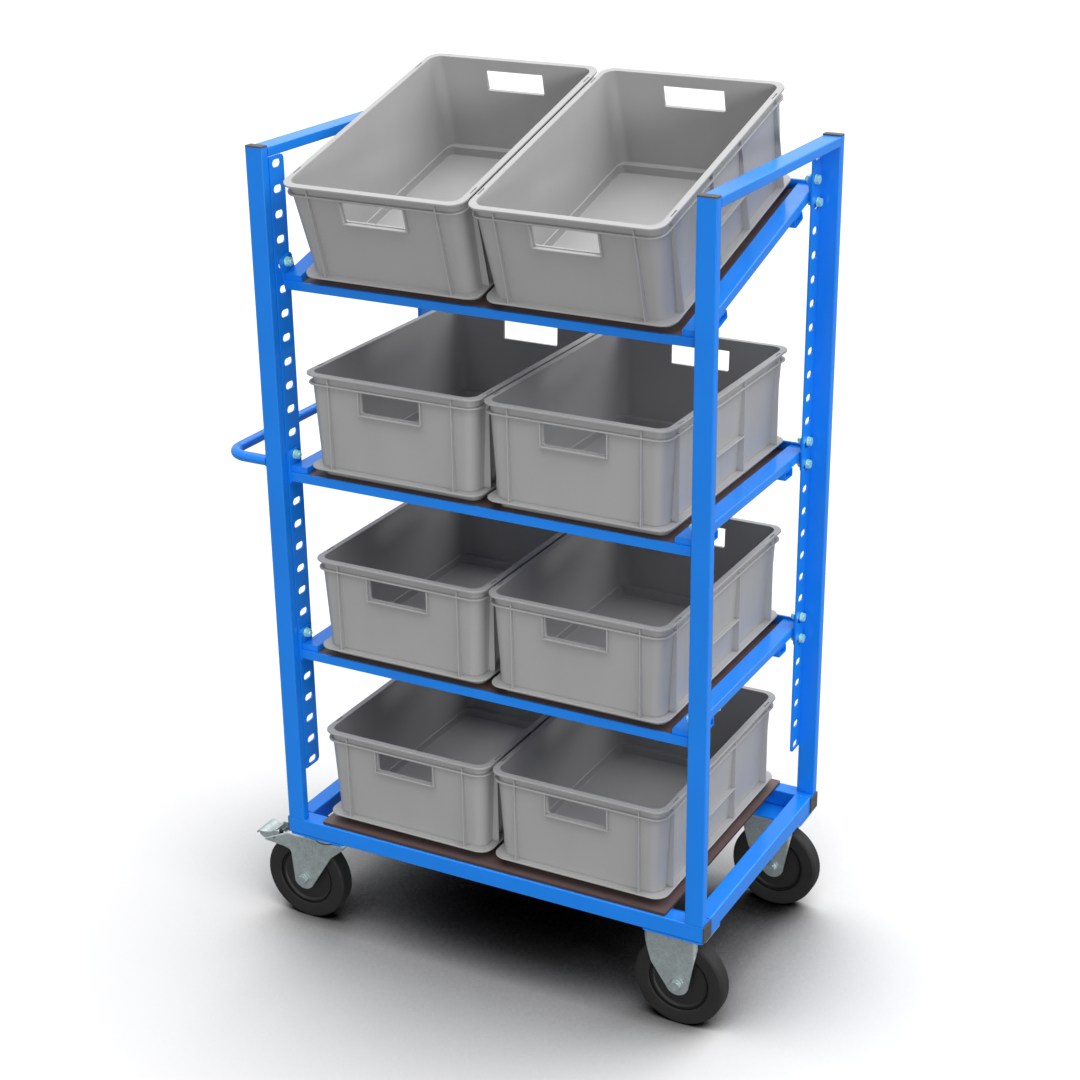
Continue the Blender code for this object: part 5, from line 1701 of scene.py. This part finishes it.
class TROLLEY_OT_studio(bpy.types.Operator):
    """Set up the floor, the lights and the camera"""

    bl_idname = "trolley.studio"
    bl_label = "Studio"

    def execute(self, context):
        studio = context.scene.trolley_studio
        make_floor(studio)
        make_world(context, studio)
        key_turn = (studio.key_lean, studio.key_side, 0)
        fill_turn = (studio.fill_rise, 0, studio.fill_side)
        make_sun("Key", studio.key, key_turn, studio.key_spread)
        make_sun("Fill", studio.fill, fill_turn, studio.fill_spread)
        make_camera(context, studio)
        context.scene.view_settings.view_transform = "Standard"
        return {"FINISHED"}


def make_floor(studio):
    """A pale floor that keeps the trolley's shadow and lets the low fill light pass; for the camera
    its colour is darkened by ambient occlusion, a painted contact shade under and round the
    trolley.
    """
    deselect_all()
    bpy.ops.mesh.primitive_plane_add(size=studio.floor_size, location=(MIDDLE.x, MIDDLE.y, 0))
    floor = settle("studio_floor")
    material = bpy.data.materials.new("studio_floor")
    material.use_nodes = True
    tree = material.node_tree
    tree.nodes.clear()
    out = tree.nodes.new("ShaderNodeOutputMaterial")
    seen = tree.nodes.new("ShaderNodeBsdfDiffuse")
    # Painted shade: the colour that the camera sees darkens with ambient occlusion, deepening the
    # shade under the trolley.
    painted_shade_occlusion = tree.nodes.new("ShaderNodeAmbientOcclusion")
    painted_shade_occlusion.inputs["Distance"].default_value = studio.shade_reach
    shade = tree.nodes.new("ShaderNodeMapRange")
    shade.interpolation_type = "SMOOTHSTEP"
    shade.inputs["From Min"].default_value = studio.shade_dark
    shade.inputs["From Max"].default_value = studio.shade_clear
    tone = tree.nodes.new("ShaderNodeMath")
    tone.operation = "MULTIPLY"
    tone.inputs[1].default_value = studio.floor_tone
    tree.links.new(painted_shade_occlusion.outputs["AO"], shade.inputs["Value"])
    tree.links.new(shade.outputs["Result"], tone.inputs[0])
    tree.links.new(tone.outputs["Value"], seen.inputs["Color"])
    bounced = tree.nodes.new("ShaderNodeBsdfDiffuse")
    bounced.inputs["Color"].default_value = (*[studio.floor_bounce] * 3, 1)
    mix = tree.nodes.new("ShaderNodeMixShader")
    path = tree.nodes.new("ShaderNodeLightPath")
    tree.links.new(path.outputs["Is Camera Ray"], mix.inputs["Fac"])
    tree.links.new(bounced.outputs["BSDF"], mix.inputs[1])
    tree.links.new(seen.outputs["BSDF"], mix.inputs[2])
    tree.links.new(mix.outputs["Shader"], out.inputs["Surface"])
    floor.data.materials.append(material)
    floor.visible_shadow = False


def make_world(context, studio):
    """Even light from all round, which looks white to the camera and in reflections."""
    world = bpy.data.worlds.new("studio_sky")
    context.scene.world = world
    world.use_nodes = True
    tree = world.node_tree
    tree.nodes.clear()
    out = tree.nodes.new("ShaderNodeOutputWorld")
    light = tree.nodes.new("ShaderNodeBackground")
    light.inputs["Strength"].default_value = studio.sky
    white = tree.nodes.new("ShaderNodeBackground")
    white.inputs["Strength"].default_value = 1.0
    path = tree.nodes.new("ShaderNodeLightPath")
    seen = tree.nodes.new("ShaderNodeMath")
    seen.operation = "MAXIMUM"
    tree.links.new(path.outputs["Is Camera Ray"], seen.inputs[0])
    tree.links.new(path.outputs["Is Glossy Ray"], seen.inputs[1])
    mix = tree.nodes.new("ShaderNodeMixShader")
    tree.links.new(seen.outputs["Value"], mix.inputs["Fac"])
    tree.links.new(light.outputs["Background"], mix.inputs[1])
    tree.links.new(white.outputs["Background"], mix.inputs[2])
    tree.links.new(mix.outputs["Shader"], out.inputs["Surface"])


def make_sun(name, power, turn, filled):
    """A soft parallel light that fills an angle."""
    light = bpy.data.lights.new(name, "SUN")
    light.energy = power
    light.angle = filled
    lamp = bpy.data.objects.new(name, light)
    lamp.rotation_euler = turn
    bpy.context.scene.collection.objects.link(lamp)


def make_camera(context, studio):
    """The photograph's camera."""
    camera = bpy.data.cameras.new("photo_camera")
    camera.sensor_width = 36.0
    camera.sensor_fit = "HORIZONTAL"
    camera.lens = studio.focal_pixels / studio.image_size * camera.sensor_width
    camera.shift_x = (studio.image_size / 2 - studio.optical_x) / studio.image_size
    camera.shift_y = (studio.optical_y - studio.image_size / 2) / studio.image_size
    camera.clip_end = 200.0
    seat = bpy.data.objects.new("photo_camera", camera)
    seat.location = MIDDLE + Vector(studio.place)
    seat.rotation_euler = (math.pi / 2 - studio.pitch, 0, studio.yaw)
    context.scene.collection.objects.link(seat)
    context.scene.camera = seat


class TROLLEY_PT_panel(bpy.types.Panel):
    """The trolley's operators and sizes"""

    bl_label = "Order Picking Trolley"
    bl_idname = "TROLLEY_PT_panel"
    bl_space_type = "VIEW_3D"
    bl_region_type = "UI"
    bl_category = "Trolley"

    def draw(self, context):
        for operator in OPERATORS:
            self.layout.operator(operator.bl_idname)
        for group in GROUPS:
            box = self.layout.box()
            box.label(text=group.replace("_", " ").title())
            settings = getattr(context.scene, group)
            for name in settings.bl_rna.properties.keys():
                if name not in ("rna_type", "name"):
                    box.prop(settings, name)


GROUPS = {
    "trolley_colours": TrolleyColours,
    "trolley_frame": TrolleyFrameSizes,
    "trolley_shelves": TrolleyShelfSizes,
    "trolley_bins": TrolleyBinSizes,
    "trolley_casters": TrolleyCasterSizes,
    "trolley_bolts": TrolleyBoltSizes,
    "trolley_studio": TrolleyStudio,
}
OPERATORS = (
    TROLLEY_OT_base,
    TROLLEY_OT_uprights,
    TROLLEY_OT_shelves,
    TROLLEY_OT_bins,
    TROLLEY_OT_casters,
    TROLLEY_OT_studio,
)


def register():
    """Register the add-on's classes and its settings."""
    for group in (*GROUPS.values(), *OPERATORS, TROLLEY_PT_panel):
        bpy.utils.register_class(group)
    for name, group in GROUPS.items():
        setattr(bpy.types.Scene, name, bpy.props.PointerProperty(type=group))


def unregister():
    """Take the add-on's settings and classes away again."""
    for name in GROUPS:
        delattr(bpy.types.Scene, name)
    for group in reversed((*GROUPS.values(), *OPERATORS, TROLLEY_PT_panel)):
        bpy.utils.unregister_class(group)


def main():
    """Build every group of pieces and the studio."""
    register()
    bpy.ops.trolley.base()
    bpy.ops.trolley.uprights()
    bpy.ops.trolley.shelves()
    bpy.ops.trolley.bins()
    bpy.ops.trolley.casters()
    bpy.ops.trolley.studio()


if __name__ == "__main__":
    main()
